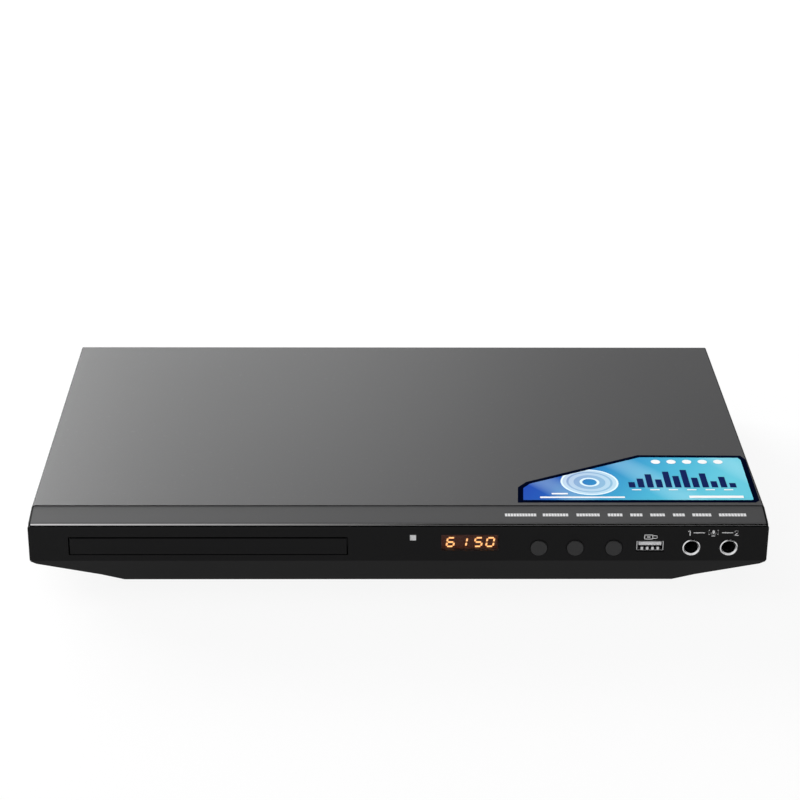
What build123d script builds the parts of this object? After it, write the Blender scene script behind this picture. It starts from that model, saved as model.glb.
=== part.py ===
from build123d import *
import math
import os

# Slim tray-type disc player. Millimetres, +X to the viewer's right, -Y to the front, +Z up.
# The origin is under the middle of the player, on the surface that its feet stand on.

# Outer sizes
FACE_WIDTH = 360.0
FACE_HALF = FACE_WIDTH / 2
SPREAD = FACE_WIDTH / 360.0
BODY_DEPTH = 215.8
JACK_REACH = 8.2
TOP_Z = 40.0
FLOOR_Z = 4.5
RING_PROUD = 0.9
FRONT_Y = -(BODY_DEPTH + JACK_REACH - RING_PROUD) / 2
REAR_Y = FRONT_Y + BODY_DEPTH

# Sheet metal and mouldings
SHEET = 0.8
COVER_SIDE_Z = 9.6
REAR_FLANGE_DROP = 9.0
PANEL_WALL = 2.4
PANEL_DEPTH = 14.2
SEAT_GAP = 0.3
COVER_SIDE_GAP = 1.4

# Front panel: a flat face over a chin that slants back, with its lower ends rising
FACE_TOP_Z = 35.6
SHADOW_GAP = 0.66
FACE_LOW_Z = 17.0
CHIN_LOW_Z = 3.8
CHIN_SETBACK = 5.4
CHIN_BEND_RUN, CHIN_BEND_RISE = 11.0, 3.5
CHIN_HALF = FACE_HALF - 45.0
CHIN_END_X = FACE_HALF - 3.0
CHIN_END_Z = 14.9
CHEEK = 1.0
JOG = 0.4
COVER_WIDTH = FACE_WIDTH - 2 * JOG

# Trim strip on top of the front panel
TRIM_BACK_Y = FRONT_Y + 14.1
TRIM_STEP = 0.35
TRIM_KNEE_DEPTH = 1.3
TRIM_KNEE_Z = 37.25
TRIM_FRONT_DEPTH = 0.7
TRIM_FRONT_Z = 36.92
TRIM_LIP_DEPTH = 0.3
TRIM_LIP_Z = 36.3
TRIM_UNDER_Z = 35.4
SEAM = 0.5
COVER_FRONT_Y = TRIM_BACK_Y + SEAM

# Places on the face, x from the middle and z from the standing surface. The tray keeps
# its distance from the left end, and the rest moves apart as the face gets wider.
TRAY_X = 87.2 - FACE_HALF
DOOR_WIDTH = 134.7
DOOR_HEIGHT = 8.7
DOOR_Z = 24.9
DOOR_GAP = 0.4
DOOR_SIDE_GAP = 0.65
DOOR_TOP_GAP = 0.75
WINDOW_X = 34.6 * SPREAD
WINDOW_Z = 26.8
WINDOW_WIDTH = 28.0
WINDOW_HEIGHT = 8.7
SENSOR_X = 6.8 * SPREAD
SENSOR_Z = 29.6
SENSOR_SIDE = 3.0
BUTTON_XS = (68.2 * SPREAD, 86.0 * SPREAD, 104.8 * SPREAD)
CONTROL_Z = 24.1
BUTTON_R = 4.1
BUTTON_GAP = 0.25
BUTTON_PROUD = 0.7
USB_X = 122.6 * SPREAD
USB_Z = 24.8
USB_WIDTH = 13.1
USB_HEIGHT = 5.2
USB_SKIN = 0.3
USB_LENGTH = 14.0
USB_RECESS = 1.0
USB_TONGUE = 1.7
JACK_XS = (142.7 * SPREAD, 161.0 * SPREAD)
JACK_Z = 24.4
JACK_RING_R = 4.35
JACK_RING_BEVEL = 0.35
JACK_BORE_R = 3.25
RING_THROAT = 0.1
JACK_BODY = 14.0
JACK_LENGTH = 26.0

# Boards
BOARD = 1.6
BOARD_Z = 11.3
FRONT_BOARD_Y = FRONT_Y + 11.0
MAIN_Y0, POWER_Y0 = -45.0, -30.0
POWER_X1 = FACE_HALF - 10.0 * SPREAD
POWER_X0 = POWER_X1 - 66.0 * SPREAD
MAIN_X0 = TRAY_X + 86.8
MAIN_X1 = POWER_X0 - 8.0
BOARD_REAR_GAP = 2.0
AV_X0 = MAIN_X0 + 7.5
AV_PITCH = 14.0
AV_EDGE = 6.8
AV_COLUMNS = 4
AV_LOW_Z = 18.4
AV_ROW_RISE = 13.0
SLEEVE_R = 4.15
SLEEVE_BORE_R = 3.1
PLUG_SHELL = 1.3
DIGITAL_X = (AV_X0 + AV_PITCH * (AV_COLUMNS - 1) + AV_EDGE + MAIN_X1) / 2
INLET_X = POWER_X1 - 30.0 * SPREAD
INLET_Z = 21.0

# Disc, tray and loader
DISC_Y = FRONT_Y + 67.0
DISC_R = 60.0
TRAY_HALF = DISC_R + 5.5
TRAY_LOW_Z = 21.2
TRAY_TOP_Z = 29.0
TRAY_FLOOR_Z = 25.8
TRAY_UNDER_Z = 23.9
TRAY_REAR_Y = DISC_Y + 105.0
SLOT_FRONT = 20.0
TRAY_SIDE_GAP = 0.4
LOADER_HALF = TRAY_HALF + 7.5
LOADER_LOW_Z = 8.0
LOADER_TOP_Z = 30.5
LOADER_FRONT_Y = FRONT_Y + 6.0
LOADER_REAR_Y = TRAY_REAR_Y + 8.0
SHELF_Z0, SHELF_Z1 = 13.6, 15.4

# Gears: module, and tooth heights as shares of the module
LOAD_MODULE = 1.0
SLED_MODULE = 0.6
PRESSURE_DEG = 25.0
ADDENDUM = 0.75
DEDENDUM = 1.05
BACKLASH = 0.2
DRIVE_TEETH, WHEEL_TEETH, PINION_TEETH = 24, 30, 10
GEAR_Y = FRONT_Y + 25.0
DECK_HALF = 52.0
RACK_X = TRAY_X - DECK_HALF
DRIVE_X = RACK_X + DRIVE_TEETH * LOAD_MODULE / 2
PULLEY_X = DRIVE_X + (WHEEL_TEETH + PINION_TEETH) * LOAD_MODULE / 2
PULLEY_R = 13.0
MOTOR_PULLEY_R = 3.5
MOTOR_X = PULLEY_X + 38.0
MOTOR_Y = GEAR_Y + 4.0
LOAD_MOTOR_R = 10.0
LOAD_MOTOR_Z = 6.2
GROOVE = 0.9
BELT = 1.2
RUN = 0.05

# Deck: frame, plate, spindle and sled, with the pivot at the rear
PIVOT_Y = DISC_Y + 98.0
PIVOT_Z = 15.3
PIVOT_R = 2.0
DECK_INNER = DECK_HALF - 9.0
LOADER_INNER = DECK_HALF + 4.0
DECK_FRONT_Y = DISC_Y - 19.5
DECK_REAR_Y = PIVOT_Y - 4.0
DECK_Z0, DECK_Z1 = 13.6, 17.0
PLATE_Z = 18.6
PLATE = 1.0
PIN_X = DECK_HALF - 22.0
PIN_R = 1.4
CAM_TRAVEL = 18.0
CAM_DROP = 4.5
CAM_THICK = 2.5
CAM_Y0 = DECK_FRONT_Y - 5.7
SPINDLE_R = 12.0
SPINDLE_Z = 11.4
SHAFT_R = 1.0
HUB_R = 15.0
HUB_Z0, HUB_Z1 = 24.4, 26.8
CONE_R = 7.4
CONE_Z = 29.2
DISC_Z = 27.2
ROD_X = DECK_HALF - 28.0
SLED_HALF = ROD_X - 4.0
SLOT_HALF = SLED_HALF + 5.0
ROD_R = 1.5
ROD_Z = 17.0
LENS_OFFSET = 24.0
SLED_TRAVEL = 35.0
SLED_TEETH, SLED_PINION_TEETH = 24, 10
SLED_RACK_X = TRAY_X + ROD_X + 5.5
SLED_GEAR_Y = DISC_Y + 47.0
SLED_GEAR_X = SLED_RACK_X + SLED_TEETH * SLED_MODULE / 2
SLED_PINION_Y = SLED_GEAR_Y - (SLED_TEETH + SLED_PINION_TEETH) * SLED_MODULE / 2
SLED_MOTOR_R = 6.0
SLED_GEAR_Z0, SLED_GEAR_Z1 = 20.3, 22.0
CLAMP_PLATE_Z = 32.2
CLAMP_PLATE = 1.6
CLAMP_HOLE_R = 13.0
CLAMPER_R = 12.0
CLAMPER_CAP_R = 15.2
CLAMPER_Z = 28.6

FOOT_X = FACE_HALF - 55.0
FOOT_FRONT_Y, FOOT_REAR_Y = FRONT_Y + 31.55, REAR_Y - 24.25
FOOT_R = 8.0
PAD = 1.2
SCREW_R = 1.5
HEAD_R = 3.0


def block(x0, x1, y0, y1, z0, z1):
    centre = Pos((x0 + x1) / 2, (y0 + y1) / 2, (z0 + z1) / 2)
    return centre * Box(x1 - x0, y1 - y0, z1 - z0)


def post(x, y, z0, z1, r):
    return Pos(x, y, (z0 + z1) / 2) * Cylinder(r, z1 - z0)


def rod_x(y, z, x0, x1, r):
    return Pos((x0 + x1) / 2, y, z) * Rot(0, 90, 0) * Cylinder(r, abs(x1 - x0))


def rod_y(x, z, y0, y1, r):
    return Pos(x, (y0 + y1) / 2, z) * Rot(90, 0, 0) * Cylinder(r, y1 - y0)


def side_shape(points, x0, x1):
    """A solid whose outline is given as (y, z) points, from x0 to x1."""
    face = make_face(Polyline(*points, close=True))
    return extrude(Plane.YZ.offset(x0) * face, x1 - x0)


def group(solids):
    return Compound(list(solids))


def mirrored(points):
    """The points of a right half, bottom first, followed by their mirror images."""
    return list(points) + [(-x, z) for x, z in reversed(points)]


# Casing

CHASSIS_HALF = COVER_WIDTH / 2 - SHEET - COVER_SIDE_GAP
CHASSIS_WALL_Z = 24.0
CHASSIS_FRONT_Y = COVER_FRONT_Y + 0.3
CHASSIS_LIP_Z = 7.4
CHASSIS_REAR_LIP_Z = 9.0
CORNER_CUT = 26.0
FLOOR_TOP_Z = FLOOR_Z + SHEET
PANEL_REAR_Y = REAR_Y - SHEET
CHASSIS_REAR_Y = PANEL_REAR_Y - SHEET
REAR_TOP_Z = TOP_Z - SHEET - SEAT_GAP
DIMPLE_YS = (-40.0, 60.0)
DIMPLE_Z = 17.0
DIMPLE_R = 5.0
REAR_SCREW_XS = (60.0 - FACE_HALF, MAIN_X0 - 14.0, FACE_HALF - 70.0)
REAR_SCREW_Z = TOP_Z - 5.0
LUG_X = LOADER_HALF + 4.0
LUG_YS = (DISC_Y - 15.0, DISC_Y + 104.0)
LUG_R = 4.4
LUG_TOP_Z = 11.0
MAIN_Y1 = CHASSIS_REAR_Y - BOARD_REAR_GAP
BOARD_EDGE = 5.0
STANDOFF_R = 3.2
HEAD = 1.8


def board_screw_places():
    places = []
    for x0, x1, y0 in ((MAIN_X0, MAIN_X1, MAIN_Y0), (POWER_X0, POWER_X1, POWER_Y0)):
        for x in (x0 + BOARD_EDGE, x1 - BOARD_EDGE):
            for y in (y0 + BOARD_EDGE, MAIN_Y1 - BOARD_EDGE - 24.0):
                places.append((x, y))
    return places


def lug_places():
    return [(TRAY_X + side * LUG_X, y) for side in (-1, 1) for y in LUG_YS]


def pan(inset):
    y0, y1 = CHASSIS_FRONT_Y + inset, CHASSIS_REAR_Y - inset
    half = CHASSIS_HALF - inset
    body = block(-half, half, y0, y1, FLOOR_Z + inset, CHASSIS_WALL_Z + inset)
    corners = body.edges().filter_by(Axis.Z).group_by(Axis.Y)[0]
    return chamfer(corners, CORNER_CUT - 0.6 * inset)


def bottom_chassis():
    body = pan(0.0) - pan(SHEET)
    half = CHASSIS_HALF + 1
    body -= block(-half, half, CHASSIS_FRONT_Y - 1, CHASSIS_FRONT_Y + CORNER_CUT + 1, CHASSIS_LIP_Z, TOP_Z)
    body -= block(-half + 2, half - 2, CHASSIS_REAR_Y - 2, CHASSIS_REAR_Y + 1, CHASSIS_REAR_LIP_Z, TOP_Z)
    for x, y in board_screw_places():
        body += post(x, y, FLOOR_TOP_Z, BOARD_Z, STANDOFF_R)
        body -= post(x, y, FLOOR_Z - 1, BOARD_Z + 1, SCREW_R + RUN)
    for x, y in lug_places():
        body += post(x, y, FLOOR_TOP_Z, LOADER_LOW_Z, LUG_R)
        body -= post(x, y, FLOOR_Z - 1, LOADER_LOW_Z + 1, SCREW_R + RUN)
    for row in range(2):
        for column in range(8):
            x = POWER_X0 + 6.0 + 7.5 * column
            y = POWER_Y0 + 32.0 + 36.0 * row
            body -= block(x - 1.5, x + 1.5, y - 12.0, y + 12.0, FLOOR_Z - 1, FLOOR_TOP_Z + 1)
    for side in (-1, 1):
        for y in DIMPLE_YS:
            x = side * CHASSIS_HALF
            body -= rod_x(y, DIMPLE_Z, x - 2, x + 2, SCREW_R + RUN)
    return body


def top_cover():
    half = COVER_WIDTH / 2
    body = block(-half, half, COVER_FRONT_Y, REAR_Y, COVER_SIDE_Z, TOP_Z)
    body = fillet(body.edges().filter_by(Axis.Y).group_by(Axis.Z)[-1], 1.0)
    inner = half - SHEET
    body -= block(-inner, inner, COVER_FRONT_Y - 1, PANEL_REAR_Y, COVER_SIDE_Z - 1, TOP_Z - SHEET)
    body -= block(-inner, inner, PANEL_REAR_Y - 1, REAR_Y + 1, 0, TOP_Z - REAR_FLANGE_DROP)
    for side in (-1, 1):
        inner, outer = side * CHASSIS_HALF, side * half
        floor = side * (CHASSIS_HALF + SHEET)
        for y in DIMPLE_YS:
            body += rod_x(y, DIMPLE_Z, inner, outer, DIMPLE_R + SHEET)
            body -= rod_x(y, DIMPLE_Z, floor, outer + side, DIMPLE_R)
            body -= rod_x(y, DIMPLE_Z, inner - side, outer, SCREW_R + RUN)
    for x in REAR_SCREW_XS:
        body -= rod_y(x, REAR_SCREW_Z, PANEL_REAR_Y - 1, REAR_Y + 1, SCREW_R + RUN)
    notch_x0, notch_x1 = AV_X0 - AV_PITCH / 2, AV_X0 + AV_PITCH * (AV_COLUMNS - 0.5)
    notch_z = AV_LOW_Z + AV_ROW_RISE + SLEEVE_R + PLUG_SHELL
    return body - block(notch_x0, notch_x1, PANEL_REAR_Y, REAR_Y + 1, 0, notch_z)


def cover_screws():
    solids = []
    for side in (-1, 1):
        floor = side * (CHASSIS_HALF + SHEET)
        for y in DIMPLE_YS:
            head = rod_x(y, DIMPLE_Z, floor, floor + side * 1.3, HEAD_R)
            solids.append(head + rod_x(y, DIMPLE_Z, floor - side * 5.0, floor, SCREW_R))
    for x in REAR_SCREW_XS:
        head = rod_y(x, REAR_SCREW_Z, REAR_Y, REAR_Y + 1.6, HEAD_R)
        solids.append(head + rod_y(x, REAR_SCREW_Z, REAR_Y - 6.0, REAR_Y, SCREW_R))
    return group(solids)


def av_places():
    return [
        (AV_X0 + AV_PITCH * column, AV_LOW_Z + AV_ROW_RISE * row)
        for row in range(2)
        for column in range(AV_COLUMNS)
    ]


DIGITAL_WIDTH, DIGITAL_HEIGHT, DIGITAL_DEPTH = 14.8, 5.4, 11.0
DIGITAL_Z = BOARD_Z + BOARD + DIGITAL_HEIGHT / 2
INLET_WIDTH, INLET_HEIGHT = 20.0, 12.0


def rear_panel():
    half = CHASSIS_HALF
    body = block(-half, half, CHASSIS_REAR_Y, PANEL_REAR_Y, FLOOR_Z, REAR_TOP_Z)
    body += block(-half + 6, half - 6, CHASSIS_REAR_Y - 9.0, CHASSIS_REAR_Y, REAR_TOP_Z - SHEET, REAR_TOP_Z)
    for x, z in av_places():
        body -= rod_y(x, z, CHASSIS_REAR_Y - 1, PANEL_REAR_Y + 1, SLEEVE_R + SEAT_GAP)
    wide, high = DIGITAL_WIDTH / 2 + SEAT_GAP, DIGITAL_HEIGHT / 2 + SEAT_GAP
    body -= block(DIGITAL_X - wide, DIGITAL_X + wide, CHASSIS_REAR_Y - 1, PANEL_REAR_Y + 1,
                  DIGITAL_Z - high, DIGITAL_Z + high)
    wide, high = INLET_WIDTH / 2 + SEAT_GAP, INLET_HEIGHT / 2 + SEAT_GAP
    body -= block(INLET_X - wide, INLET_X + wide, CHASSIS_REAR_Y - 1, PANEL_REAR_Y + 1,
                  INLET_Z - high, INLET_Z + high)
    for x in REAR_SCREW_XS:
        body -= rod_y(x, REAR_SCREW_Z, CHASSIS_REAR_Y - 1, PANEL_REAR_Y + 1, SCREW_R + RUN)
    return body


def foot_places():
    return [(x, y) for x in (-FOOT_X, FOOT_X) for y in (FOOT_FRONT_Y, FOOT_REAR_Y)]


def feet():
    return group(post(x, y, PAD, FLOOR_Z, FOOT_R) for x, y in foot_places())


def foot_pads():
    return group(post(x, y, 0, PAD, FOOT_R - 1.0) for x, y in foot_places())


# Front panel and trim

PANEL_HALF = FACE_WIDTH / 2 - JOG
TRIM_HALF = PANEL_HALF - CHEEK - 0.1
PANEL_BACK_Y = FRONT_Y + PANEL_DEPTH


def trim_face(lower, under_z):
    """The sloping section of the trim, lowered by a small amount, down to under_z."""
    back = (TRIM_BACK_Y, TOP_Z - TRIM_STEP - lower)
    knee = (FRONT_Y + TRIM_KNEE_DEPTH, TRIM_KNEE_Z - lower)
    front = (FRONT_Y + TRIM_FRONT_DEPTH, TRIM_FRONT_Z - lower)
    lip = (FRONT_Y + TRIM_LIP_DEPTH, TRIM_LIP_Z - lower)
    edges = [
        Line(back, knee),
        Line(knee, front),
        Line(front, lip),
        Line(lip, (lip[0], under_z)),
        Line((lip[0], under_z), (TRIM_BACK_Y, under_z)),
        Line((TRIM_BACK_Y, under_z), back),
    ]
    return make_face(edges)


def top_trim():
    body = extrude(Plane.YZ.offset(-TRIM_HALF) * trim_face(0.0, TRIM_UNDER_Z), 2 * TRIM_HALF)
    step_y = FRONT_Y + PANEL_WALL + SEAT_GAP
    body -= block(-FACE_WIDTH, FACE_WIDTH, FRONT_Y - 1, step_y, 0, FACE_TOP_Z + SHADOW_GAP)
    pocket = block(-TRIM_HALF + 2, TRIM_HALF - 2, FRONT_Y + 6, TRIM_BACK_Y - 2, 0, TRIM_UNDER_Z + 1.4)
    return body - pocket


def panel_outline(inset):
    points = mirrored([
        (CHIN_HALF, CHIN_LOW_Z),
        (CHIN_HALF + CHIN_BEND_RUN, CHIN_LOW_Z + CHIN_BEND_RISE),
        (CHIN_END_X, CHIN_END_Z),
        (PANEL_HALF, FACE_LOW_Z - 0.5),
        (PANEL_HALF, TOP_Z + 5),
    ])
    face = make_face(Polyline(*points, close=True))
    if inset:
        face = offset(face, -inset, kind=Kind.INTERSECTION)
    return extrude(Plane.XZ.offset(-PANEL_BACK_Y - 1) * face, PANEL_DEPTH + 2)


def front_panel():
    f = FRONT_Y
    w = PANEL_WALL
    chin_y = f + CHIN_SETBACK
    shell = side_shape([
        (f, FACE_LOW_Z),
        (f, FACE_TOP_Z),
        (f + w, FACE_TOP_Z),
        (f + w, TRIM_UNDER_Z),
        (PANEL_BACK_Y, TRIM_UNDER_Z),
        (PANEL_BACK_Y, CHIN_LOW_Z),
        (chin_y, CHIN_LOW_Z),
    ], -PANEL_HALF, PANEL_HALF) & panel_outline(0)
    cavity = side_shape([
        (f + w, FACE_LOW_Z - 0.2),
        (f + w, TRIM_UNDER_Z - w),
        (PANEL_BACK_Y + 1, TRIM_UNDER_Z - w),
        (PANEL_BACK_Y + 1, CHIN_LOW_Z + w),
        (chin_y + 1.5, CHIN_LOW_Z + w),
    ], -PANEL_HALF, PANEL_HALF) & panel_outline(w)
    shell -= cavity
    plate = block(-FACE_WIDTH / 2, FACE_WIDTH / 2, f, f + w, FACE_LOW_Z, FACE_TOP_Z)
    plate = fillet(plate.edges().filter_by(Axis.Y), 0.6)
    shell += plate
    for side in (-1, 1):
        start = PANEL_HALF - CHEEK if side > 0 else -PANEL_HALF
        face = trim_face(0.15, TRIM_UNDER_Z - w)
        shell += extrude(Plane.YZ.offset(start) * face, CHEEK)
    return shell - face_holes()


def face_holes():
    y0, y1 = FRONT_Y - 1, FRONT_Y + PANEL_WALL + 0.01
    wide, high = DOOR_WIDTH / 2 + DOOR_SIDE_GAP, DOOR_HEIGHT / 2
    z0, z1 = DOOR_Z - high - DOOR_GAP, DOOR_Z + high + DOOR_TOP_GAP
    holes = block(TRAY_X - wide, TRAY_X + wide, y0, y1, z0, z1)
    wide, high = WINDOW_WIDTH / 2, WINDOW_HEIGHT / 2
    holes += block(WINDOW_X - wide, WINDOW_X + wide, y0, y1, WINDOW_Z - high, WINDOW_Z + high)
    half = SENSOR_SIDE / 2
    holes += block(SENSOR_X - half, SENSOR_X + half, y0, y1, SENSOR_Z - half, SENSOR_Z + half)
    for x in BUTTON_XS:
        holes += rod_y(x, CONTROL_Z, y0, y1, BUTTON_R + BUTTON_GAP)
    wide, high = USB_WIDTH / 2 + SEAT_GAP, USB_HEIGHT / 2 + SEAT_GAP
    holes += block(USB_X - wide, USB_X + wide, y0, y1, USB_Z - high, USB_Z + high)
    for x in JACK_XS:
        holes += rod_y(x, JACK_Z, y0, y1, JACK_RING_R - 0.4)
    return holes


def tray_door():
    wide, high = DOOR_WIDTH / 2, DOOR_HEIGHT / 2
    door = block(TRAY_X - wide, TRAY_X + wide, FRONT_Y, TRAY_FRONT_Y, DOOR_Z - high, DOOR_Z + high)
    return fillet(door.edges().group_by(Axis.Y)[0], 0.25)


def display_window():
    wide, high = WINDOW_WIDTH / 2 - 0.02, WINDOW_HEIGHT / 2 - 0.02
    body = block(WINDOW_X - wide, WINDOW_X + wide, FRONT_Y + 0.1, FRONT_Y + PANEL_WALL,
                 WINDOW_Z - high, WINDOW_Z + high)
    return body + block(WINDOW_X - wide - 1, WINDOW_X + wide + 1, FRONT_Y + PANEL_WALL,
                        FRONT_Y + PANEL_WALL + 0.8, WINDOW_Z - high - 1, WINDOW_Z + high + 1)


def sensor_window():
    half = SENSOR_SIDE / 2 - 0.02
    body = block(SENSOR_X - half, SENSOR_X + half, FRONT_Y + 0.1, FRONT_Y + PANEL_WALL,
                 SENSOR_Z - half, SENSOR_Z + half)
    return body + block(SENSOR_X - half - 0.8, SENSOR_X + half + 0.8, FRONT_Y + PANEL_WALL,
                        FRONT_Y + PANEL_WALL + 1.6, SENSOR_Z - half - 0.8, SENSOR_Z + half + 0.8)


TRAY_FRONT_Y = FRONT_Y + 2.4
BUTTON_TRAVEL = 0.5
SWITCH_FACE_Y = FRONT_BOARD_Y - 4.3


def push_button(x):
    """A round cap with a flange behind the panel and a stem that ends before its switch."""
    back_y = FRONT_Y + PANEL_WALL
    cap = rod_y(x, CONTROL_Z, FRONT_Y - BUTTON_PROUD, back_y + 0.1, BUTTON_R)
    cap = fillet(cap.edges().group_by(Axis.Y)[0], 0.5)
    cap += rod_y(x, CONTROL_Z, back_y + 0.1, back_y + 1.3, BUTTON_R + 1.2)
    stem_y = SWITCH_FACE_Y - 0.3 - BUTTON_TRAVEL
    return cap + rod_y(x, CONTROL_Z, back_y + 1.3, stem_y, 1.6)


def front_board():
    y0, y1 = FRONT_BOARD_Y, FRONT_BOARD_Y + BOARD
    return block(SENSOR_X - 6.8, USB_X - USB_WIDTH / 2 - 2.0, y0, y1, 9.0, TRIM_UNDER_Z - PANEL_WALL - 0.3)


def tact_switches():
    solids = []
    for x in BUTTON_XS:
        base = block(x - 3, x + 3, SWITCH_FACE_Y + 0.8, FRONT_BOARD_Y, CONTROL_Z - 3, CONTROL_Z + 3)
        solids.append(base + rod_y(x, CONTROL_Z, SWITCH_FACE_Y, SWITCH_FACE_Y + 0.8, 1.6))
    return group(solids)


def led_display():
    """A four-digit module: a case behind the window, with a raised face for each digit."""
    wide = WINDOW_WIDTH / 2 - 0.4
    face_y = FRONT_Y + PANEL_WALL + 0.8 + SEAT_GAP
    return block(WINDOW_X - wide, WINDOW_X + wide, face_y, FRONT_BOARD_Y, WINDOW_Z - 5.0, WINDOW_Z + 5.0)


def sensor_receiver():
    face_y = FRONT_Y + PANEL_WALL + 1.6 + SEAT_GAP
    body = block(SENSOR_X - 2.6, SENSOR_X + 2.6, face_y + 1.6, FRONT_BOARD_Y, SENSOR_Z - 3.4, SENSOR_Z + 2.8)
    return body + rod_y(SENSOR_X, SENSOR_Z, face_y, face_y + 1.6, 1.9)


JACK_BOARD_Z = JACK_Z - JACK_BODY / 2 - BOARD
JACK_BOARD_X0, JACK_BOARD_X1 = USB_X - 8.0, JACK_XS[1] + 6.0
JACK_BOARD_Y0, JACK_BOARD_Y1 = FRONT_Y + PANEL_WALL + 1.8, FRONT_Y + JACK_LENGTH + 8.0


def jack_board():
    z0 = JACK_BOARD_Z
    return block(JACK_BOARD_X0, JACK_BOARD_X1, JACK_BOARD_Y0, JACK_BOARD_Y1, z0, z0 + BOARD)


SPRING_PITCH = 2.6


def usb_socket():
    """The port's shell, with four contact strips along its floor."""
    wide, high = USB_WIDTH / 2, USB_HEIGHT / 2
    y0 = FRONT_Y + USB_RECESS
    y1 = y0 + USB_LENGTH
    shell = block(USB_X - wide, USB_X + wide, y0, y1, USB_Z - high, USB_Z + high)
    inner_wide, inner_high = wide - USB_SKIN, high - USB_SKIN
    z0, z1 = USB_Z - inner_high, USB_Z + inner_high
    shell -= block(USB_X - inner_wide, USB_X + inner_wide, y0 - 1, y1 - 1.0, z0, z1)
    for side in (-1, 1):
        x = USB_X + side * (wide - 1.0)
        shell += block(x - 0.8, x + 0.8, y0 + 5, y0 + 9, JACK_BOARD_Z + BOARD, USB_Z - high)
    for column in range(4):
        x = USB_X + (column - 1.5) * SPRING_PITCH
        shell += block(x - 0.6, x + 0.6, y0, y0 + 7, z0, z0 + 1.5)
    return shell


def usb_tongue():
    y0 = FRONT_Y + USB_RECESS + 0.2
    y1 = FRONT_Y + USB_RECESS + USB_LENGTH - 1.0
    wide = USB_WIDTH / 2 - USB_SKIN - 0.7
    top = USB_Z + USB_HEIGHT / 2 - USB_SKIN - 0.4
    return block(USB_X - wide, USB_X + wide, y0, y1, top - USB_TONGUE, top)


def mic_jack(x):
    half = JACK_BODY / 2
    y0 = FRONT_Y + PANEL_WALL
    body = block(x - half, x + half, y0, FRONT_Y + JACK_LENGTH, JACK_Z - half, JACK_Z + half)
    return body - rod_y(x, JACK_Z, y0 - 1, FRONT_Y + JACK_LENGTH - 2.0, JACK_BORE_R)


def mic_ring(x):
    """A bright turned ring whose face dips to the bore, with a barrel through the panel."""
    r0, r1 = JACK_BORE_R, JACK_RING_R
    section = make_face(Polyline(
        (r0, -FRONT_Y - PANEL_WALL),
        (r0, -FRONT_Y + RING_THROAT),
        (r1 - JACK_RING_BEVEL - 0.1, -FRONT_Y + RING_PROUD),
        (r1 - JACK_RING_BEVEL, -FRONT_Y + RING_PROUD),
        (r1, -FRONT_Y + RING_PROUD - JACK_RING_BEVEL),
        (r1, -FRONT_Y),
        (r1 - 0.42, -FRONT_Y),
        (r1 - 0.42, -FRONT_Y - PANEL_WALL),
        close=True,
    ))
    ring = revolve(Plane.XY * section, Axis.Y)
    return Pos(x, 0, JACK_Z) * Rot(180, 0, 0) * ring


# Boards, sockets and ribbons

BOARD_TOP_Z = BOARD_Z + BOARD
AV_DEPTH = 16.0
AV_BLOCK_Y1 = CHASSIS_REAR_Y - SEAT_GAP
SLEEVE_Y0 = PANEL_REAR_Y + SEAT_GAP
COLLAR_R = SLEEVE_BORE_R + 0.5


def drilled_board(x0, x1, y0):
    board = block(x0, x1, y0, MAIN_Y1, BOARD_Z, BOARD_TOP_Z)
    for x, y in board_screw_places():
        if x0 < x < x1:
            board -= post(x, y, BOARD_Z - 1, BOARD_TOP_Z + 1, SCREW_R + RUN)
    return board


def main_board():
    return drilled_board(MAIN_X0, MAIN_X1, MAIN_Y0)


def power_board():
    return drilled_board(POWER_X0, POWER_X1, POWER_Y0)


def board_screws():
    solids = []
    for x, y in board_screw_places():
        solids.append(post(x, y, BOARD_TOP_Z, BOARD_TOP_Z + HEAD, HEAD_R)
                      + post(x, y, FLOOR_TOP_Z, BOARD_TOP_Z, SCREW_R))
    for x, y in lug_places():
        solids.append(post(x, y, LUG_TOP_Z, LUG_TOP_Z + HEAD, HEAD_R)
                      + post(x, y, FLOOR_TOP_Z, LUG_TOP_Z, SCREW_R))
    return group(solids)


CHIP_X = (MAIN_X0 + MAIN_X1) / 2 - 3.0
CHIP_Y, CHIP_SIDE, CHIP_HEIGHT = 10.0, 24.0, 1.6


def board_chips():
    places = (
        (CHIP_X, CHIP_Y, CHIP_SIDE, CHIP_SIDE, CHIP_HEIGHT),
        (CHIP_X + 27.0, CHIP_Y + 2.0, 10.0, 22.0, 1.1),
        (CHIP_X - 26.0, CHIP_Y - 4.0, 9.0, 14.0, 1.1),
        (CHIP_X - 20.0, CHIP_Y - 36.0, 10.0, 10.0, 1.8),
        (CHIP_X + 10.0, CHIP_Y - 36.0, 6.0, 9.0, 1.5),
    )
    return group(
        block(x - w / 2, x + w / 2, y - d / 2, y + d / 2, BOARD_TOP_Z, BOARD_TOP_Z + h)
        for x, y, w, d, h in places
    )


def heat_sink():
    z0 = BOARD_TOP_Z + CHIP_HEIGHT
    half = CHIP_SIDE / 2 - 1.0
    body = block(CHIP_X - half, CHIP_X + half, CHIP_Y - half, CHIP_Y + half, z0, z0 + 1.6)
    for fin in range(7):
        x = CHIP_X - half + 0.7 + fin * (2 * half - 1.4) / 6
        body += block(x - 0.6, x + 0.6, CHIP_Y - half, CHIP_Y + half, z0 + 1.6, z0 + 7.5)
    return body


TRANSFORMER_X, TRANSFORMER_Y = POWER_X0 + 34.0, 8.0
CAPACITOR_X = POWER_X0 + 12.0


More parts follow.
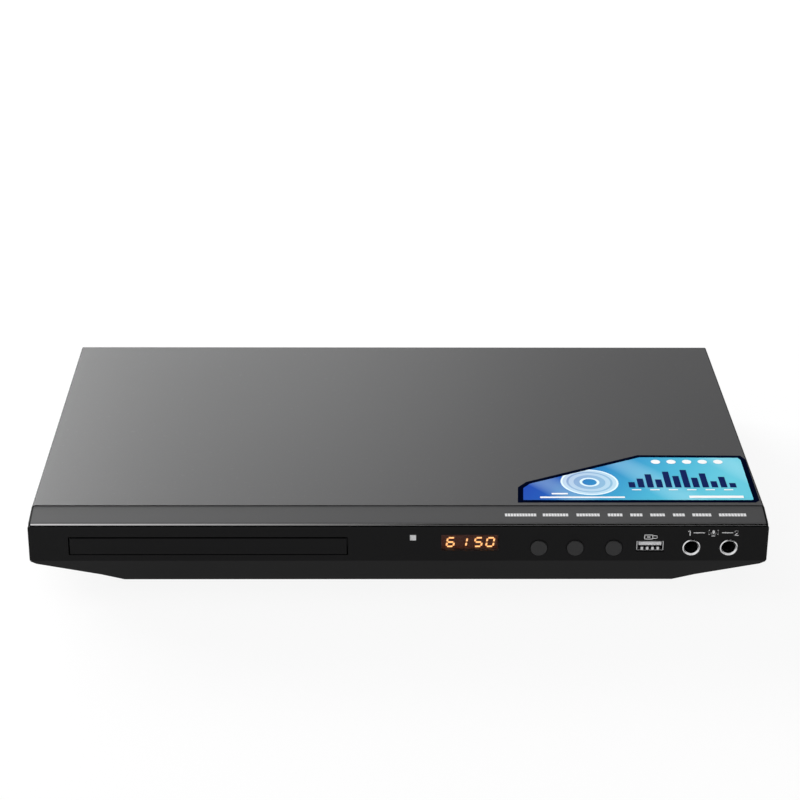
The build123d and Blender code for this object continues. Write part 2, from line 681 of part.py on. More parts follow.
def power_transformer():
    x, y, z0 = TRANSFORMER_X, TRANSFORMER_Y, BOARD_TOP_Z
    core = block(x - 12.5, x + 12.5, y - 6.0, y + 6.0, z0 + 3.0, z0 + 21.0)
    winding = block(x - 8.0, x + 8.0, y - 10.5, y + 10.5, z0 + 5.0, z0 + 19.0)
    winding = fillet(winding.edges().filter_by(Axis.Z), 3.0)
    return core + winding + block(x - 11.0, x + 11.0, y - 11.5, y + 11.5, z0, z0 + 3.0)


def power_capacitors():
    places = (
        (CAPACITOR_X, TRANSFORMER_Y + 30.0, 8.0, 21.0),
        (CAPACITOR_X, TRANSFORMER_Y + 4.0, 5.0, 15.0),
        (CAPACITOR_X, TRANSFORMER_Y - 14.0, 5.0, 15.0),
        (POWER_X1 - 10.0, TRANSFORMER_Y - 22.0, 4.0, 11.0),
    )
    return group(
        fillet(post(x, y, BOARD_TOP_Z, BOARD_TOP_Z + h, r).edges().group_by(Axis.Z)[-1], 0.6)
        for x, y, r, h in places
    )


def av_jack_block():
    """The moulded block of eight jacks. Each sleeve sits on a collar, round an insulator nose."""
    wide = AV_PITCH * (AV_COLUMNS - 1) / 2 + AV_EDGE
    x = AV_X0 + AV_PITCH * (AV_COLUMNS - 1) / 2
    top = REAR_TOP_Z - SHEET - 1.0
    body = block(x - wide, x + wide, AV_BLOCK_Y1 - AV_DEPTH, AV_BLOCK_Y1, BOARD_TOP_Z, top)
    for jx, z in av_places():
        body += rod_y(jx, z, AV_BLOCK_Y1, SLEEVE_Y0, COLLAR_R)
        body += rod_y(jx, z, SLEEVE_Y0, REAR_Y + JACK_REACH - 0.8, SLEEVE_BORE_R - RUN)
        body -= rod_y(jx, z, AV_BLOCK_Y1 - 6.0, REAR_Y + JACK_REACH, 1.65)
    return body


def av_jack_sleeves():
    solids = []
    for x, z in av_places():
        tube = rod_y(x, z, SLEEVE_Y0, REAR_Y + JACK_REACH, SLEEVE_R)
        solids.append(tube - rod_y(x, z, SLEEVE_Y0 - 1, REAR_Y + JACK_REACH + 1, SLEEVE_BORE_R))
    return group(solids)


def digital_socket():
    x, z, wide, high = DIGITAL_X, DIGITAL_Z, DIGITAL_WIDTH / 2, DIGITAL_HEIGHT / 2
    y1 = PANEL_REAR_Y + 0.4
    body = block(x - wide, x + wide, y1 - DIGITAL_DEPTH, y1, z - high, z + high)
    inner_wide, inner_high = wide - 0.4, high - 0.4
    z0, z1 = z - inner_high, z + inner_high
    body -= block(x - inner_wide, x + inner_wide, y1 - DIGITAL_DEPTH + 2.0, y1 + 1, z0, z1)
    return body + block(x - 5.5, x + 5.5, y1 - DIGITAL_DEPTH + 1.0, y1 - 1.0, z - 0.5, z + 0.5)


INLET_PIN_PITCH, INLET_PIN_R, INLET_DEPTH = 8.6, 1.2, 18.0


def mains_inlet():
    """A two-pin inlet, standing on the power board behind its hole in the rear panel."""
    x, z, wide, high = INLET_X, INLET_Z, INLET_WIDTH / 2, INLET_HEIGHT / 2
    y1 = PANEL_REAR_Y + 0.6
    body = block(x - wide, x + wide, y1 - INLET_DEPTH, y1, z - high, z + high)
    body += block(x - wide + 2, x + wide - 2, y1 - INLET_DEPTH, y1 - 6.0, BOARD_TOP_Z, z)
    inner_wide, inner_high = wide - 2.5, high - 2.2
    z0, z1 = z - inner_high, z + inner_high
    recess = block(x - inner_wide, x + inner_wide, y1 - INLET_DEPTH + 4.0, y1 + 1, z0, z1)
    body -= fillet(recess.edges().filter_by(Axis.Y), 3.0)
    for side in (-1, 1):
        pin_x = x + side * INLET_PIN_PITCH / 2
        body += rod_y(pin_x, z, y1 - INLET_DEPTH + 3.0, y1 - 3.0, INLET_PIN_R)
    return body


RIBBON = 0.4
SOCKET_RISE = 4.0


def ribbon(points, radius, plane, start, width):
    """A flat cable whose path is given in one plane, with the width along the plane's normal."""
    path = FilletPolyline(*points, radius=radius)
    return extrude(plane.offset(start) * trace(path, RIBBON), width)


def deck_ribbon():
    """From a socket on the main board, under the loader, and up to the pivot end of the deck."""
    low_z = (FLOOR_TOP_Z + LOADER_LOW_Z) / 2
    x1 = MAIN_X0 + 12.0
    cable = ribbon([
        (x1, BOARD_TOP_Z + SOCKET_RISE),
        (x1, BOARD_TOP_Z + SOCKET_RISE + 3.5),
        (MAIN_X0 - 3.2, BOARD_TOP_Z + SOCKET_RISE + 3.5),
        (MAIN_X0 - 3.2, low_z),
        (TRAY_X + 12.0, low_z),
        (TRAY_X + 6.0, DECK_Z0 - 0.8),
        (TRAY_X - 14.0, DECK_Z0 - 0.8),
    ], 1.5, Plane.XZ, -DECK_REAR_Y, 18.0)
    y0, y1 = DECK_REAR_Y - 19.0, DECK_REAR_Y + 1.0
    socket = block(x1 - 2.0, x1 + 2.0, y0, y1, BOARD_TOP_Z, BOARD_TOP_Z + SOCKET_RISE)
    return group([cable, socket])


def front_ribbon():
    """From the display board down and back to the front edge of the main board."""
    x0 = (MAIN_X0 + MAIN_X1) / 2 + 6.0
    y1 = MAIN_Y0 + 6.0
    top = BOARD_TOP_Z + SOCKET_RISE
    cable = ribbon([
        (FRONT_BOARD_Y + BOARD + 4.0, top),
        (FRONT_BOARD_Y + BOARD + 16.0, top + 1.0),
        (MAIN_Y0 - 22.0, FLOOR_TOP_Z + 3.0),
        (MAIN_Y0 - 5.0, top + 6.0),
        (y1, top + 6.0),
        (y1, top),
    ], 2.0, Plane.YZ, x0, 16.0)
    socket = block(x0 - 1, x0 + 17, y1 - 2.0, y1 + 2.0, BOARD_TOP_Z, top)
    plug = block(x0 - 1, x0 + 17, FRONT_BOARD_Y + BOARD, FRONT_BOARD_Y + BOARD + 4.0, top - 2.0, top + 2.0)
    return group([cable, socket, plug])


def power_ribbon():
    """Across the gap between the power board and the main board."""
    top = BOARD_TOP_Z + SOCKET_RISE
    x0, x1 = MAIN_X1 - 4.0, POWER_X0 + 4.0
    y1, width = POWER_Y0 + 24.0, 12.0
    cable = ribbon([(x0, top), (x0, top + 5.0), (x1, top + 5.0), (x1, top)], 2.0, Plane.XZ, -y1, width)
    sockets = [block(x - 2.0, x + 2.0, y1 - width - 1.0, y1 + 1.0, BOARD_TOP_Z, top) for x in (x0, x1)]
    return group([cable] + sockets)


# Gears

def polar(radius, angle):
    return (radius * math.cos(angle), radius * math.sin(angle))


def involute(angle):
    return math.tan(angle) - angle


def gear(x, y, z0, z1, teeth, module, bore, phase_deg=0.0):
    """A spur gear with involute flanks, thinned at the pitch line by half of the backlash."""
    pressure = math.radians(PRESSURE_DEG)
    pitch_r = teeth * module / 2
    base_r = pitch_r * math.cos(pressure)
    tip_r = pitch_r + ADDENDUM * module
    root_r = pitch_r - DEDENDUM * module
    half = (math.pi * module / 2 - BACKLASH * module / 2) / (2 * pitch_r)
    start_r = max(base_r, root_r)
    radii = [start_r + (tip_r - start_r) * step / 3 for step in range(4)]
    flank = [(r, half + involute(pressure) - involute(math.acos(base_r / r))) for r in radii]
    if root_r < base_r:
        flank.insert(0, (root_r, flank[0][1]))
    points = []
    for tooth in range(teeth):
        middle = math.radians(phase_deg) + 2 * math.pi * tooth / teeth
        points += [polar(r, middle - a) for r, a in flank]
        points += [polar(r, middle + a) for r, a in reversed(flank)]
    body = extrude(make_face(Polyline(*points, close=True)), z1 - z0)
    body = Pos(x, y, z0) * body
    return body - post(x, y, z0 - 1, z1 + 1, bore) if bore else body


def rack(pitch_x, side, y0, y1, space_y, z0, z1, module, back):
    """A straight rack along Y. Its teeth point to side, with a space centred on space_y."""
    pitch = math.pi * module
    slope = math.tan(math.radians(PRESSURE_DEG))
    half = pitch / 4 - BACKLASH * module / 4
    tip, root = ADDENDUM * module, DEDENDUM * module
    first = math.ceil((y0 - space_y) / pitch - 0.5)
    last = math.floor((y1 - space_y) / pitch - 0.5)
    points = [(pitch_x - side * (root + back), y0), (pitch_x - side * root, y0)]
    for index in range(first, last + 1):
        middle = space_y + pitch * (index + 0.5)
        if middle - pitch / 2 < y0 or middle + pitch / 2 > y1:
            continue
        points.append((pitch_x - side * root, middle - half - root * slope))
        points.append((pitch_x + side * tip, middle - half + tip * slope))
        points.append((pitch_x + side * tip, middle + half - tip * slope))
        points.append((pitch_x - side * root, middle + half + root * slope))
    points += [(pitch_x - side * root, y1), (pitch_x - side * (root + back), y1)]
    return Pos(0, 0, z0) * extrude(make_face(Polyline(*points, close=True)), z1 - z0)


# Loader

GEAR_Z = SHELF_Z1 + SEAT_GAP
PULLEY_THICK = 2.0
WHEEL_Z0, WHEEL_Z1 = 18.2, 20.4
TRAY_TRAVEL = 130.0
BRIDGE_HALF = 17.0
LIP = 3.0
POST_R = 1.5


def loader_frame():
    """An open moulded frame: side walls with tray ledges, a front shelf and a rear bar."""
    half, inner = LOADER_HALF, LOADER_INNER
    channel = TRAY_HALF + TRAY_SIDE_GAP
    x = TRAY_X
    y0, y1 = LOADER_FRONT_Y, LOADER_REAR_Y
    ledge = TRAY_LOW_Z - 0.2
    body = block(x - half, x + half, y0, y1, LOADER_LOW_Z, LOADER_TOP_Z)
    body -= block(x - inner, x + inner, y0 - 1, y1 - 4.0, LOADER_LOW_Z - 1, ledge)
    body -= block(x - channel, x + channel, y0 - 1, y1 - 4.0, ledge, LOADER_TOP_Z + 1)
    for side in (-1, 1):
        near, far = x + side * (inner + 4.0), x + side * (half - 2.5)
        body -= block(min(near, far), max(near, far), y0 + 3, y1 - 6, LOADER_LOW_Z - 1, ledge - 3.0)
        for y in (y0 + 20.0, DISC_Y + 40.0, DISC_Y + 80.0):
            near, far = x + side * (channel - LIP), x + side * channel
            body += block(min(near, far), max(near, far), y - 6, y + 6, TRAY_TOP_Z + SEAT_GAP, LOADER_TOP_Z)
        hole_x = x + side * (inner + 2.4)
        body -= rod_x(PIVOT_Y, PIVOT_Z, x + side * (inner - 1), hole_x, PIVOT_R + RUN)
    body += block(x - inner, x + inner, y0, CAM_Y0 - 1.0, SHELF_Z0, SHELF_Z1)
    body -= block(x - half - 1, x + half + 1, y0 - 1, PANEL_BACK_Y + 0.4, 0, SHELF_Z0)
    for side in (-1, 1):
        near, far = x + side * (inner + 1.5), x + side * (half + 1)
        body -= block(min(near, far), max(near, far), y0 - 1, PANEL_BACK_Y + 0.4, 0, SHELF_Z1)
    for side in (-1, 1):
        guide = x + side * (inner - 4.0)
        body += block(guide - 4.0, guide + 4.0, CAM_Y0 - 1.0, CAM_Y0 - RUN, SHELF_Z0 - 3.0, SHELF_Z1)
    for lug_x, y in lug_places():
        side = 1 if lug_x > x else -1
        wall = x + side * (half - 1.0)
        arm = block(min(wall, lug_x), max(wall, lug_x), y - LUG_R, y + LUG_R, LOADER_LOW_Z, LUG_TOP_Z)
        body += arm + post(lug_x, y, LOADER_LOW_Z, LUG_TOP_Z, LUG_R)
        body -= post(lug_x, y, LOADER_LOW_Z - 1, LUG_TOP_Z + 1, SCREW_R + RUN)
    for post_x, top in ((DRIVE_X, TRAY_UNDER_Z - 0.4), (PULLEY_X, WHEEL_Z1 + 0.4)):
        body += post(post_x, GEAR_Y, SHELF_Z1, top, POST_R)
    return body - post(MOTOR_X, MOTOR_Y, SHELF_Z0 - 1, SHELF_Z1 + 1, 2.5)


def loading_motor():
    body = post(MOTOR_X, MOTOR_Y, LOAD_MOTOR_Z, SHELF_Z0, LOAD_MOTOR_R)
    return body - post(MOTOR_X, MOTOR_Y, LOAD_MOTOR_Z + 1.5, SHELF_Z0 + 1, SHAFT_R + RUN)


def motor_pulley():
    z1 = GEAR_Z + PULLEY_THICK
    body = pulley(MOTOR_X, MOTOR_Y, MOTOR_PULLEY_R)
    return body + post(MOTOR_X, MOTOR_Y, LOAD_MOTOR_Z + 1.8, z1 + 1.0, SHAFT_R)


def pulley(x, y, r):
    """A disc with a belt groove of the stated bottom radius."""
    middle = GEAR_Z + PULLEY_THICK / 2
    rim = r + GROOVE
    body = post(x, y, GEAR_Z, middle - BELT / 2 - RUN, rim)
    body += post(x, y, middle - BELT / 2 - RUN, middle + BELT / 2 + RUN, r)
    return body + post(x, y, middle + BELT / 2 + RUN, GEAR_Z + PULLEY_THICK, rim)


def pulley_gear():
    top = WHEEL_Z1 + 0.2
    body = pulley(PULLEY_X, GEAR_Y, PULLEY_R)
    body += gear(PULLEY_X, GEAR_Y, GEAR_Z + PULLEY_THICK, top, PINION_TEETH, LOAD_MODULE, 0, 18.0)
    return body - post(PULLEY_X, GEAR_Y, GEAR_Z - 1, top + 1, POST_R + RUN)


def drive_gear():
    body = gear(DRIVE_X, GEAR_Y, WHEEL_Z0, WHEEL_Z1, WHEEL_TEETH, LOAD_MODULE, 0)
    body += post(DRIVE_X, GEAR_Y, WHEEL_Z1, TRAY_LOW_Z + 0.2, DRIVE_TEETH * LOAD_MODULE / 2 - 2.0)
    body += gear(DRIVE_X, GEAR_Y, TRAY_LOW_Z + 0.2, TRAY_UNDER_Z - 0.2, DRIVE_TEETH, LOAD_MODULE, 0)
    body += post(DRIVE_X, GEAR_Y, GEAR_Z, WHEEL_Z0, POST_R + 2.0)
    return body - post(DRIVE_X, GEAR_Y, GEAR_Z - 1, TRAY_UNDER_Z, POST_R + RUN)


def drive_belt():
    """A square belt round both pulleys, with its straight runs on their outer tangents."""
    z0 = GEAR_Z + PULLEY_THICK / 2 - BELT / 2
    dx, dy = MOTOR_X - PULLEY_X, MOTOR_Y - GEAR_Y
    span = math.hypot(dx, dy)
    loops = []
    for grow in (BELT, RUN):
        big, small = PULLEY_R + grow, MOTOR_PULLEY_R + grow
        lean = math.acos((big - small) / span)
        along = math.atan2(dy, dx)
        a, b = [], []
        for angle in (along + lean, along - lean):
            a.append((PULLEY_X + big * math.cos(angle), GEAR_Y + big * math.sin(angle)))
            b.append((MOTOR_X + small * math.cos(angle), MOTOR_Y + small * math.sin(angle)))
        far_a = (PULLEY_X - big * math.cos(along), GEAR_Y - big * math.sin(along))
        far_b = (MOTOR_X + small * math.cos(along), MOTOR_Y + small * math.sin(along))
        arcs = [ThreePointArc(a[0], far_a, a[1]), ThreePointArc(b[1], far_b, b[0])]
        loops.append(make_face([arcs[0], Line(a[1], b[1]), arcs[1], Line(b[0], a[0])]))
    return Pos(0, 0, z0) * extrude(loops[0] - loops[1], BELT)


def cam_slider():
    """A plate across the front of the deck, with a slanted slot for each deck pin."""
    y0, y1 = CAM_Y0, CAM_Y0 + CAM_THICK
    half = LOADER_INNER - 1.0
    z0 = PIVOT_Z - CAM_DROP - PIN_R - 2.2
    z1 = PIVOT_Z + PIN_R + 1.6
    x0, x1 = TRAY_X - half, TRAY_X + half - CAM_TRAVEL
    body = block(x0, x1, y0, y1, z0, z1)
    r = PIN_R + 0.25
    for side in (-1, 1):
        x = TRAY_X + side * PIN_X
        slant = math.hypot(CAM_TRAVEL, CAM_DROP)
        angle = math.degrees(math.atan2(CAM_DROP, CAM_TRAVEL))
        middle = Pos(x - CAM_TRAVEL / 2, (y0 + y1) / 2, PIVOT_Z - CAM_DROP / 2)
        body -= middle * Rot(0, -angle, 0) * Box(slant, CAM_THICK + 2, 2 * r)
        body -= rod_y(x, PIVOT_Z, y0 - 1, y1 + 1, r)
        body -= rod_y(x - CAM_TRAVEL, PIVOT_Z - CAM_DROP, y0 - 1, y1 + 1, r)
    return body


def tray():
    """The drawer: two disc recesses, skirts, a rack below, and a slot open to the rear."""
    x, half = TRAY_X, TRAY_HALF
    y0, y1 = TRAY_FRONT_Y, TRAY_REAR_Y
    body = block(x - half, x + half, y0, y1, TRAY_LOW_Z, TRAY_TOP_Z)
    body = fillet(body.edges().filter_by(Axis.Z).group_by(Axis.Y)[-1], 4.0)
    body -= post(x, DISC_Y, TRAY_FLOOR_Z, TRAY_TOP_Z + 1, DISC_R + 0.6)
    body -= post(x, DISC_Y, TRAY_FLOOR_Z - 0.8, TRAY_TOP_Z, 41.0)
    body -= block(x - half + 3.5, x + half - 3.5, y0 + 2.0, y1 + 1, TRAY_LOW_Z - 1, TRAY_UNDER_Z)
    slot = post(x, DISC_Y, 0, TOP_Z, SLOT_FRONT)
    slot += block(x - SLOT_FRONT, x + SLOT_FRONT, DISC_Y, DISC_Y + 3, 0, TOP_Z)
    slot += block(x - SLOT_HALF, x + SLOT_HALF, DISC_Y + 2, y1 + 1, 0, TOP_Z)
    body -= slot
    body -= block(x - half + 8, x + half - 8, DISC_Y + DISC_R + 3.0, y1 - 4.0, TRAY_FLOOR_Z, TRAY_TOP_Z + 1)
    rack_y0, rack_y1 = GEAR_Y - 6.0, GEAR_Y + TRAY_TRAVEL + 6.0
    return body + rack(RACK_X, 1, rack_y0, rack_y1, GEAR_Y, TRAY_LOW_Z + 0.2, TRAY_UNDER_Z, LOAD_MODULE, 1.6)


def clamp_bridge():
    x, y = TRAY_X, DISC_Y
    z0, z1 = CLAMP_PLATE_Z, CLAMP_PLATE_Z + CLAMP_PLATE
    body = block(x - LOADER_HALF, x + LOADER_HALF, y - BRIDGE_HALF, y + BRIDGE_HALF, z0, z1)
    for side in (-1, 1):
        near, far = x + side * (TRAY_HALF + TRAY_SIDE_GAP), x + side * LOADER_HALF
        body += block(min(near, far), max(near, far), y - BRIDGE_HALF, y + BRIDGE_HALF, LOADER_TOP_Z, z0)
        body += block(min(near, far), max(near, far), y - BRIDGE_HALF, y - BRIDGE_HALF + 2, z1, z1 + 1.6)
    body += block(x - LOADER_HALF, x + LOADER_HALF, y + BRIDGE_HALF - 1.2, y + BRIDGE_HALF, z1, z1 + 2.4)
    body += post(x, y, z1, z1 + 0.8, CLAMP_HOLE_R + 1.6)
    return body - post(x, y, z0 - 1, z1 + 2, CLAMP_HOLE_R)


def clamper():
    """A puck under the bridge that hangs by its cap, hollow where the cone enters."""
    x, y = TRAY_X, DISC_Y
    plate_top = CLAMP_PLATE_Z + CLAMP_PLATE + 0.8
    body = post(x, y, CLAMPER_Z, plate_top + SEAT_GAP, CLAMPER_R)
    body += post(x, y, plate_top + SEAT_GAP, plate_top + 2.0, CLAMPER_CAP_R)
    return body - post(x, y, CLAMPER_Z - 1, CONE_Z + 0.6, CONE_R + 0.6)


# Disc deck

DAMPER_X = DECK_HALF - 4.5
DAMPER_YS = (DECK_FRONT_Y + 4.0, DECK_REAR_Y - 4.0)
DAMPER_R = 4.2
DAMPER_GROOVE_R = 3.0
DAMPER_TOP_Z = 20.8
SLED_Y0, SLED_Y1 = DISC_Y + 13.8, DISC_Y + 47.0
SLED_Z0, SLED_Z1 = 14.4, 22.0
EYE = 3.4
ROD_Y0, ROD_Y1 = DISC_Y + 8.0, DISC_Y + 88.0
PLATE_HALF = DECK_HALF - 1.5


def damper_places():
    return [(TRAY_X + side * DAMPER_X, y) for side in (-1, 1) for y in DAMPER_YS]


def deck_frame():
    """A moulded ring with two pins in front, for the cam, and two pivots behind."""
    x = TRAY_X
    body = block(x - DECK_HALF, x + DECK_HALF, DECK_FRONT_Y, DECK_REAR_Y, DECK_Z0, DECK_Z1)
    body -= block(x - DECK_INNER, x + DECK_INNER, DECK_FRONT_Y + 4.5, DECK_REAR_Y - 5.0, 0, TOP_Z)
    for side in (-1, 1):
        body += rod_y(x + side * PIN_X, PIVOT_Z, CAM_Y0 - 0.3, DECK_FRONT_Y, PIN_R)
        near, far = x + side * (DECK_HALF - 5.0), x + side * DECK_HALF
        body += block(min(near, far), max(near, far), DECK_REAR_Y - 1, PIVOT_Y, DECK_Z0, DECK_Z1)
        body += rod_x(PIVOT_Y, PIVOT_Z, near, far, DECK_Z1 - PIVOT_Z)
        body += rod_x(PIVOT_Y, PIVOT_Z, near, x + side * (LOADER_INNER + 2.0), PIVOT_R)
    for px, py in damper_places():
        body -= post(px, py, DECK_Z0 - 1, DECK_Z1 + 1, SCREW_R + RUN)
    return body


def deck_plate():
    """The steel plate that carries the spindle, rods and sled drive."""
    x = TRAY_X
    half, open_half = PLATE_HALF, SLED_HALF + 6.6
    body = block(x - half, x + half, DECK_FRONT_Y + 0.5, DECK_REAR_Y - 0.5, PLATE_Z, PLATE_Z + PLATE)
    body -= post(x, DISC_Y, 0, TOP_Z, 5.0)
    body -= block(x - open_half, x + open_half, SLED_Y0 - 1.0, SLED_Y1 + SLED_TRAVEL + 1.0, 0, TOP_Z)
    for px, py in damper_places():
        body -= post(px, py, 0, TOP_Z, DAMPER_GROOVE_R + RUN)
    body -= post(SLED_GEAR_X, SLED_PINION_Y, 0, TOP_Z, 1.6)
    body += post(SLED_GEAR_X, SLED_GEAR_Y, PLATE_Z + PLATE, SLED_GEAR_Z1 + 0.6, 1.0)
    for side in (-1, 1):
        for y0, y1 in ((ROD_Y0, ROD_Y0 + 3.0), (ROD_Y1 - 3.0, ROD_Y1)):
            rod = x + side * ROD_X
            lug = block(rod - 3.2, rod + 3.2, y0, y1, ROD_Z - 2.6, PLATE_Z + PLATE)
            body += lug - rod_y(rod, ROD_Z, y0 - 1, y1 + 1, ROD_R)
            body -= rod_y(rod, ROD_Z, y0, y1, ROD_R)
    return body


def dampers():
    solids = []
    for x, y in damper_places():
        ring = post(x, y, DECK_Z1, DAMPER_TOP_Z, DAMPER_R)
        groove = post(x, y, PLATE_Z, PLATE_Z + PLATE, DAMPER_R + 1) - post(x, y, 0, TOP_Z, DAMPER_GROOVE_R)
        solids.append(ring - groove - post(x, y, 0, TOP_Z, SCREW_R + RUN))
    return group(solids)


def damper_screws():
    return group(
        post(x, y, DAMPER_TOP_Z, DAMPER_TOP_Z + 1.4, HEAD_R) + post(x, y, DECK_Z0, DAMPER_TOP_Z, SCREW_R)
        for x, y in damper_places()
    )


def spindle_motor():
    x, y = TRAY_X, DISC_Y
    body = post(x, y, SPINDLE_Z, PLATE_Z, SPINDLE_R) + post(x, y, PLATE_Z, PLATE_Z + 3.0, 4.6)
    return body - post(x, y, SPINDLE_Z + 1.0, TOP_Z, SHAFT_R + RUN)


def turntable():
    x, y = TRAY_X, DISC_Y
    body = post(x, y, HUB_Z0, HUB_Z1, HUB_R)
    cone = Pos(x, y, (HUB_Z1 + CONE_Z) / 2) * Cone(CONE_R, CONE_R - 1.6, CONE_Z - HUB_Z1)
    return body + cone + post(x, y, SPINDLE_Z + 1.3, HUB_Z0, SHAFT_R)


def turntable_ring():
    x, y = TRAY_X, DISC_Y
    return post(x, y, HUB_Z1, DISC_Z, HUB_R - 0.6) - post(x, y, 0, TOP_Z, HUB_R - 4.6)


def guide_rods():
    return group(rod_y(TRAY_X + side * ROD_X, ROD_Z, ROD_Y0, ROD_Y1, ROD_R) for side in (-1, 1))


def pickup_sled():
    """The laser unit on its rods, with a round bite for the spindle and a rack on its right."""
    x = TRAY_X
    body = block(x - SLED_HALF, x + SLED_HALF, SLED_Y0, SLED_Y1, SLED_Z0, SLED_Z1)
    body -= post(x, DISC_Y, 0, TOP_Z, HUB_R + 1.2)
    for side in (-1, 1):
        rod = x + side * ROD_X
        near = x + side * (SLED_HALF - 1.0)
        far = rod + side * EYE
        for y0, y1 in ((SLED_Y0 + 1, SLED_Y0 + 8), (SLED_Y1 - 8, SLED_Y1 - 1)):
            body += block(min(near, far), max(near, far), y0, y1, SLED_Z0, PLATE_Z - 0.2)
            body -= rod_y(rod, ROD_Z, y0 - 1, y1 + 1, ROD_R + RUN)
    lens_y = DISC_Y + LENS_OFFSET
    body -= post(x, lens_y, SLED_Z1 - 1.5, TOP_Z, 4.4)
    arm_x = SLED_RACK_X - DEDENDUM * SLED_MODULE - 1.0
    y0, y1 = SLED_GEAR_Y - SLED_TRAVEL - 4.0, SLED_GEAR_Y + 4.0
    z0, z1 = SLED_GEAR_Z0 + 0.1, SLED_GEAR_Z1
    body += block(x + SLED_HALF - 1.0, arm_x, SLED_Y0 + 6.0, SLED_Y1 - 2.0, z0, z1)
    return body + rack(SLED_RACK_X, 1, y0, y1, SLED_GEAR_Y, z0, z1, SLED_MODULE, 1.4)


def pickup_lens():
    y = DISC_Y + LENS_OFFSET
    body = post(TRAY_X, y, SLED_Z1 - 1.5, SLED_Z1 + 0.5, 3.6)
    return body + Pos(TRAY_X, y, SLED_Z1 + 0.5) * Cone(2.8, 1.6, 0.8)


def sled_gear():
    return gear(SLED_GEAR_X, SLED_GEAR_Y, SLED_GEAR_Z0, SLED_GEAR_Z1, SLED_TEETH, SLED_MODULE, 1.0 + RUN)


def sled_motor():
    x, y = SLED_GEAR_X, SLED_PINION_Y
    body = post(x, y, DECK_Z0 - 4.0, PLATE_Z, SLED_MOTOR_R)
    return body - post(x, y, DECK_Z0 - 2.0, TOP_Z, 0.75 + RUN)


def sled_pinion():
    x, y = SLED_GEAR_X, SLED_PINION_Y
    body = gear(x, y, SLED_GEAR_Z0, SLED_GEAR_Z1, SLED_PINION_TEETH, SLED_MODULE, 0)
    return body + post(x, y, DECK_Z0 - 1.5, SLED_GEAR_Z0, 0.75)


# Every piece of the player, by the name of its node

pieces = {
    "bottom_chassis": bottom_chassis(),
    "top_cover": top_cover(),
    "rear_panel": rear_panel(),
    "front_panel": front_panel(),
    "top_trim": top_trim(),
    "feet": feet(),
    "foot_pads": foot_pads(),
    "cover_screws": cover_screws(),
    "display_window": display_window(),
    "sensor_window": sensor_window(),
    "sensor_receiver": sensor_receiver(),
    "led_display": led_display(),
    "tact_switches": tact_switches(),
    "front_board": front_board(),
    "jack_board": jack_board(),
    "usb_socket": usb_socket(),
    "usb_tongue": usb_tongue(),
    "mic_jacks": group(mic_jack(x) for x in JACK_XS),
    "mic_rings": group(mic_ring(x) for x in JACK_XS),
    "main_board": main_board(),
    "board_chips": board_chips(),
    "heat_sink": heat_sink(),
    "power_board": power_board(),
    "power_transformer": power_transformer(),
    "power_capacitors": power_capacitors(),
    "board_screws": board_screws(),
    "av_jack_block": av_jack_block(),
    "av_jack_sleeves": av_jack_sleeves(),
    "digital_socket": digital_socket(),
    "mains_inlet": mains_inlet(),
    "deck_ribbon": deck_ribbon(),
    "front_ribbon": front_ribbon(),
    "power_ribbon": power_ribbon(),
    "loader_frame": loader_frame(),
    "loading_motor": loading_motor(),
    "motor_pulley": motor_pulley(),
    "pulley_gear": pulley_gear(),
    "drive_gear": drive_gear(),
    "drive_belt": drive_belt(),
    "cam_slider": cam_slider(),
    "tray": tray(),
    "tray_door": tray_door(),
    "clamp_bridge": clamp_bridge(),
    "clamper": clamper(),
    "deck_frame": deck_frame(),
    "deck_plate": deck_plate(),
    "dampers": dampers(),
    "damper_screws": damper_screws(),
    "spindle_motor": spindle_motor(),
    "turntable": turntable(),
    "turntable_ring": turntable_ring(),
    "guide_rods": guide_rods(),
    "pickup_sled": pickup_sled(),
    "pickup_lens": pickup_lens(),
    "sled_gear": sled_gear(),
    "sled_motor": sled_motor(),
    "sled_pinion": sled_pinion(),
}
for number, x in enumerate(BUTTON_XS, start=1):
    pieces[f"button_{number}"] = push_button(x)

os.makedirs("parts", exist_ok=True)
for name, shape in pieces.items():
    export_step(shape, f"parts/{name}.step")
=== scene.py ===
import math
import bpy
from mathutils import Matrix, Vector


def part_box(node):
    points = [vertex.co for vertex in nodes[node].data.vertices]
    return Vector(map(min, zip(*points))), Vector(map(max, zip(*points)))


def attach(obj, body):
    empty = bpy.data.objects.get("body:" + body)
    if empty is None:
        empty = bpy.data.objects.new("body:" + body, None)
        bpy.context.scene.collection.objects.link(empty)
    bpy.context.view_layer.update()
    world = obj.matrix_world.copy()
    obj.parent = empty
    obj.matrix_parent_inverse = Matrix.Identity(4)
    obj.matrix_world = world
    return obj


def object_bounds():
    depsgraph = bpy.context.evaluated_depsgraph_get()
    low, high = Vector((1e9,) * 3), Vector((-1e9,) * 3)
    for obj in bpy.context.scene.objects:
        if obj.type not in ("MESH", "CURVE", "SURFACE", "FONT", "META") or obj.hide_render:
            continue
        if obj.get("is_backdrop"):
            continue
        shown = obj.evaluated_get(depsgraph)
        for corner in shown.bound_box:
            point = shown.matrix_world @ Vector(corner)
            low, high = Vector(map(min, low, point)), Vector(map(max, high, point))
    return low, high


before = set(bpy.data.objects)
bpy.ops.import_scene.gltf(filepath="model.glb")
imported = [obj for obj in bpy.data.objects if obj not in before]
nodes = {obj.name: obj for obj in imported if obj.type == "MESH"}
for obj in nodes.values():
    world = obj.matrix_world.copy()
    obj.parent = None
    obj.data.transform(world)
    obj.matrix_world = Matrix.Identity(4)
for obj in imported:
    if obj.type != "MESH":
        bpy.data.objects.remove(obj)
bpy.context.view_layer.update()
scene = bpy.context.scene
scene.view_settings.view_transform = "Standard"


